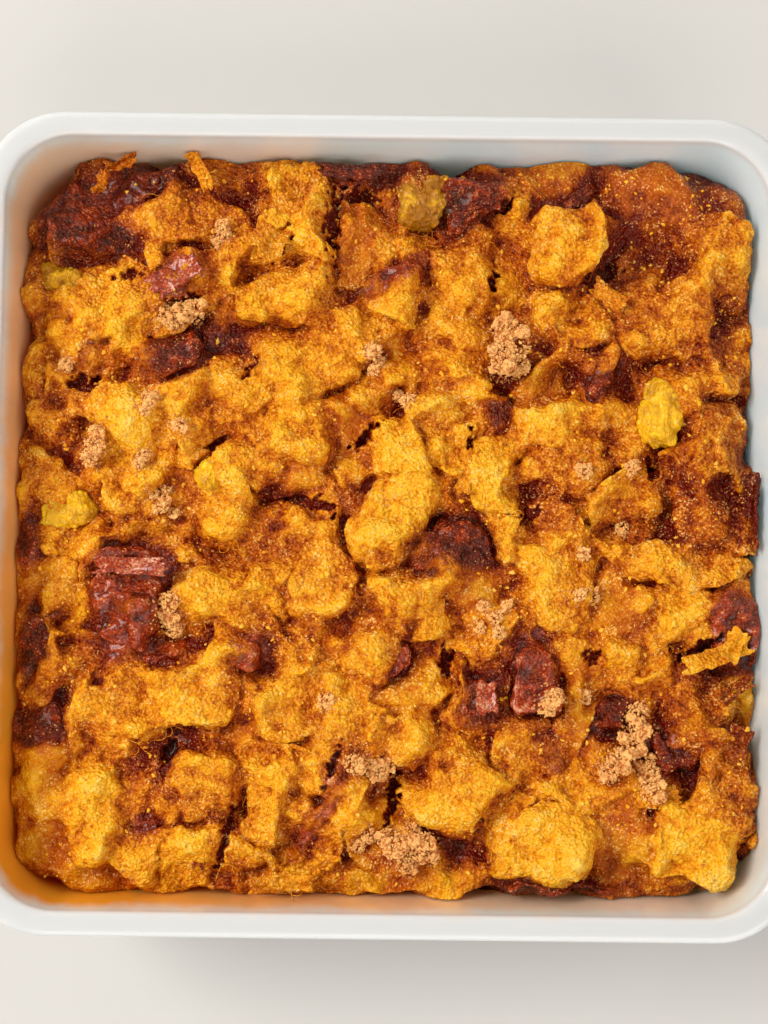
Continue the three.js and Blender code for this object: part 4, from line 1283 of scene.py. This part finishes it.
class PUDDING_OT_flakes(bpy.types.Operator):
    """Makes the thin torn flakes and the one that stands against the wall"""
    bl_idname = "pudding.flakes"
    bl_label = "Flakes"

    def execute(self, context):
        made = []
        for seed, (*row, curl, kind) in enumerate(FLAKES):
            made.append(self.flake(seed, row, curl, FLAKE_LIKE[kind]))
        made.append(self.wall_flake())
        flakes = join("torn_flakes", made)
        set_points(flakes, keep_in_dish(points_of(flakes)))
        shade_smooth(flakes)
        dress(flakes, bpy.data.materials["baked bread"], "baked_bread")
        return {"FINISHED"}

    def sheet(self, seed, length, width, curl, thickness):
        """A thin sheet with a ragged edge, curled at its ends."""
        bpy.ops.mesh.primitive_grid_add(x_subdivisions=26, y_subdivisions=12, size=1)
        sheet = bpy.context.object
        points = points_of(sheet)
        rim = 2 * np.abs(points[:, :2]).max(1)
        way = np.arctan2(points[:, 1], points[:, 0])
        tear = np.array([noise.noise(Vector((3 * math.cos(a), 3 * math.sin(a), seed))) for a in way])
        points[:, :2] *= (1 + rim ** 3 * 0.45 * tear)[:, None]
        bow = np.array([noise.noise(Vector((*point[:2] * 2.5, seed + SEEDS["bow"]))) for point in points])
        points[:, 2] = (3 * points[:, 0] ** 2 * curl + 0.9 * bow * curl) * MM
        points[:, 0] *= length * MM
        points[:, 1] *= width * MM
        set_points(sheet, points)
        apply_modifier(sheet, "SOLIDIFY", thickness=thickness * MM, offset=0)
        apply_modifier(sheet, "SUBSURF", levels=1, render_levels=1)
        roughen(sheet, "crinkle", 1.6 * MM, 0.5 * MM, noise_depth=1)
        return sheet

    def flake(self, seed, row, curl, kinds):
        x, y, length, width, turn, top, lean_x, lean_y = row
        sheet = self.sheet(seed, length, width, curl, FLAKE_THICKNESS)
        place = placing((x, y, 1, 1, turn, top, lean_x, lean_y), 1)
        turned = place.to_quaternion().to_matrix().to_4x4()
        sheet.matrix_world = Matrix.Translation(place.translation) @ turned
        like_bread(sheet, kinds)
        return sheet

    def wall_flake(self):
        """The flake that stands on its long edge against the right wall."""
        height = WALL_FLAKE["top"] - WALL_FLAKE["foot"]
        seed, length, curl = SEEDS["wall_flake"], WALL_FLAKE["length"], WALL_FLAKE["curl"]
        sheet = self.sheet(seed, length, height, curl, WALL_FLAKE["thickness"])
        middle = Vector((WALL_FLAKE["x"], WALL_FLAKE["y"], WALL_FLAKE["foot"] + height / 2)) * MM
        stand = Euler((math.radians(90), 0, math.radians(90))).to_matrix().to_4x4()
        sheet.matrix_world = Matrix.Translation(middle) @ stand
        like_bread(sheet, FLAKE_LIKE["toasted"])
        return sheet


class PUDDING_OT_fibres(bpy.types.Operator):
    """Makes the fibres pulled out of torn bread"""
    bl_idname = "pudding.fibres"
    bl_label = "Fibres"

    def execute(self, context):
        settings = context.scene.pudding_topping
        draw = random.Random(SEEDS["fibres"])
        corners, faces = [], []
        for x, y, count, length in TUFTS:
            for _ in range(count):
                self.fibre(draw, x + draw.gauss(0, 2), y + draw.gauss(0, 2), length, corners, faces)
        for _ in range(settings.fibres):
            x, y = draw.uniform(-FIBRES_HALF, FIBRES_HALF), draw.uniform(-FIBRES_HALF, FIBRES_HALF)
            self.fibre(draw, x, y, SINGLE_FIBRE_LENGTH, corners, faces)
        fibres = new_object("bread_fibres", corners, faces)
        like_bread(fibres, FLAKE_LIKE["golden"])
        shade_smooth(fibres)
        dress(fibres, bpy.data.materials["baked bread"], "baked_bread")
        return {"FINISHED"}

    def fibre(self, draw, x, y, length, corners, faces, steps=7):
        """A thin curved thread with pointed ends, which starts in the food and rises out of it."""
        point, _, crust = surface_under(x, y)
        if point is None or crust or point.z > FIBRES_TOP:
            return
        heading = draw.uniform(0, math.tau)
        bend_by = draw.uniform(-1.1, 1.1)
        rise = draw.uniform(0.1, 0.6)
        length *= draw.uniform(0.6, 1.2)
        start = len(corners)
        here = Vector(point) - Vector((0, 0, FIBRE_SINK))
        for i in range(steps + 1):
            share = i / steps
            radius = FIBRE_RADIUS * math.sin(math.pi * (0.06 + 0.88 * share))
            ahead = Vector((math.cos(heading), math.sin(heading), rise * (1 - 2 * share)))
            side = ahead.cross(Vector((0, 0, 1))).normalized()
            for way in (side, Vector((0, 0, 1)), -side, Vector((0, 0, -1))):
                corners.append((here + way * radius) * MM)
            here = here + ahead.normalized() * length / steps
            heading += bend_by * length / 8
            bend_by += draw.uniform(-0.5, 0.5)
        for i in range(steps):
            for side in range(4):
                low, high = start + 4 * i + side, start + 4 * i + (side + 1) % 4
                faces.append((low, high, high + 4, low + 4))
        faces.append((start, start + 3, start + 2, start + 1))
        faces.append(tuple(range(start + 4 * steps, start + 4 * steps + 4)))


class PUDDING_OT_crumbs(bpy.types.Operator):
    """Makes the loose crumbs of bread"""
    bl_idname = "pudding.crumbs"
    bl_label = "Crumbs"

    def execute(self, context):
        settings = context.scene.pudding_topping
        draw = random.Random(SEEDS["crumbs"])
        shapes = grain_shapes()
        places = strewn(draw, settings.crumbs, **BREAD_STREWING)
        crumbs = scattered("bread_crumbs", shapes, places)
        remove(*shapes)
        tones = [draw.uniform(0.15, 0.85) for _ in places]
        add_attribute(crumbs, "tone", np.repeat(tones, len(crumbs.data.vertices) // len(places)))
        shade_smooth(crumbs)
        dress(crumbs, crumb_finish(context.scene.pudding_bread), "baked_bread")
        return {"FINISHED"}


class PUDDING_OT_sugar(bpy.types.Operator):
    """Makes the clumps, crumbs and grains of brown sugar"""
    bl_idname = "pudding.sugar"
    bl_label = "Sugar"

    def execute(self, context):
        settings = context.scene.pudding_topping
        material = sugar_finish(settings)
        draw = random.Random(SEEDS["sugar"])
        shapes = grain_shapes()
        loose = strewn(draw, settings.grains, **SUGAR_STREWING)
        for crumbs in [*SUGAR_CLUMPS, CRUMBS]:
            for x, y, radius in crumbs:
                loose += self.spilt(draw, x, y, radius)
        for number, crumbs in enumerate(SUGAR_CLUMPS, 1):
            clump = self.clump(f"sugar_lumps_{number}", draw, shapes, crumbs)
            dress(clump, material, "brown_sugar", f"sugar_clump_{number}")
        dress(self.clump("sugar_crumbs", draw, shapes, CRUMBS), material, "brown_sugar")
        dress(scattered("sugar_grains", shapes, loose), material, "brown_sugar")
        remove(*shapes)
        return {"FINISHED"}

    def spilt(self, draw, x, y, radius):
        """Grains that have come off a crumb and lie round it."""
        places = []
        for _ in range(int(SPILT_PER_RADIUS * radius)):
            reach = radius * (0.8 + abs(draw.gauss(0, 0.6)))
            way = draw.uniform(0, math.tau)
            point, *_ = surface_under(x + reach * math.cos(way), y + reach * math.sin(way))
            if point is not None and point.z < STREWN_TOP:
                places.append((point * MM, draw.uniform(*SPILT_SIZES) * MM, random_turn(draw)))
        return places

    def clump(self, name, draw, shapes, crumbs):
        """Crumbs fused in a crumbly lump, with grains stuck to it."""
        balls, stuck = [], []
        for x, y, radius in crumbs:
            point, *_ = surface_under(x, y)
            middle = point + Vector((0, 0, 0.25 * radius))
            for _ in range(BALLS_PER_CRUMB):
                offset = Vector([draw.uniform(-BALL_SPREAD, BALL_SPREAD) * radius for _ in range(3)])
                place = (middle + offset) * MM
                size = radius * draw.uniform(*BALL_SIZES) * MM
                bpy.ops.mesh.primitive_ico_sphere_add(subdivisions=3, radius=size, location=place)
                balls.append(bpy.context.object)
            for _ in range(int(STUCK_PER_RADIUS * radius)):
                way = Vector([draw.gauss(0, 1) for _ in range(3)]).normalized()
                spot = middle + Vector((way.x, way.y, 0.75 * abs(way.z))) * radius * draw.uniform(0.75, 1.1)
                stuck.append((spot * MM, draw.uniform(*STUCK_SIZES) * MM, random_turn(draw)))
        core = join(name + "_core", balls)
        apply_modifier(core, "REMESH", mode="VOXEL", voxel_size=0.4 * MM)
        roughen(core, "lump", 2.2 * MM, 1.6 * MM, direction="RGB_TO_XYZ", cloud_type="COLOR")
        roughen(core, "grit", 0.8 * MM, 0.9 * MM, noise_depth=1)
        clump = join(name, [scattered(name, shapes, stuck), core])
        mark_standing(clump, "tip", **TIP)
        return clump


class PUDDING_OT_stage(bpy.types.Operator):
    """Makes the floor, the light and the camera"""
    bl_idname = "pudding.stage"
    bl_label = "Stage"

    def execute(self, context):
        scene = context.scene
        bpy.ops.mesh.primitive_plane_add(size=FLOOR_SIDE)
        floor = bpy.context.object
        floor.name = "floor"
        finish = Finish("floor", Roughness=0.7)
        colour = scene.pudding_stage.floor
        speckle = finish.noise(0.08, 2, 0.5)
        finish.set(Base_Color=finish.mix(speckle * 0.1, colour, tuple(0.9 * value for value in colour)))
        floor.data.materials.append(finish.material)

        world = bpy.data.worlds.new("studio")
        scene.world = world
        world.use_nodes = True
        background = world.node_tree.nodes["Background"]
        background.inputs["Color"].default_value = AMBIENT_COLOUR
        background.inputs["Strength"].default_value = AMBIENT_STRENGTH
        for name, (place, size, power, colour) in LIGHTS.items():
            bpy.ops.object.light_add(type="AREA", location=place)
            light = bpy.context.object
            light.name = name
            light.data.size = size
            light.data.energy = power
            light.data.color = colour
            light.rotation_euler = (-Vector(place)).to_track_quat("-Z", "Y").to_euler()

        bpy.ops.object.camera_add(location=CAMERA_PLACE)
        camera = bpy.context.object
        camera.rotation_mode = "ZYX"
        camera.rotation_euler = CAMERA_TURN
        camera.data.sensor_width = CAMERA_SENSOR
        camera.data.lens = CAMERA_LENS
        scene.camera = camera
        scene.view_settings.view_transform = "Standard"
        return {"FINISHED"}


class PUDDING_PT_panel(bpy.types.Panel):
    """The pudding's pieces, in the order in which they are made"""
    bl_idname = "PUDDING_PT_panel"
    bl_label = "Bread Pudding"
    bl_space_type = "VIEW_3D"
    bl_region_type = "UI"
    bl_category = "Pudding"

    def draw(self, context):
        for step in STEPS:
            self.layout.operator(step.bl_idname)


STEPS = [
    PUDDING_OT_dish, PUDDING_OT_core, PUDDING_OT_bread, PUDDING_OT_fruit, PUDDING_OT_flakes,
    PUDDING_OT_fibres, PUDDING_OT_crumbs, PUDDING_OT_sugar, PUDDING_OT_stage,
]
SETTINGS = {
    "pudding_dish": PuddingDishSettings, "pudding_bread": PuddingBreadSettings,
    "pudding_topping": PuddingToppingSettings, "pudding_stage": PuddingStageSettings,
}


def register():
    for cls in [*SETTINGS.values(), *STEPS, PUDDING_PT_panel]:
        bpy.utils.register_class(cls)
    for name, group in SETTINGS.items():
        setattr(bpy.types.Scene, name, PointerProperty(type=group))


def unregister():
    for name in SETTINGS:
        delattr(bpy.types.Scene, name)
    for cls in reversed([*SETTINGS.values(), *STEPS, PUDDING_PT_panel]):
        bpy.utils.unregister_class(cls)


def main():
    register()
    for step in STEPS:
        group, name = step.bl_idname.split(".")
        getattr(getattr(bpy.ops, group), name)()


if __name__ == "__main__":
    main()
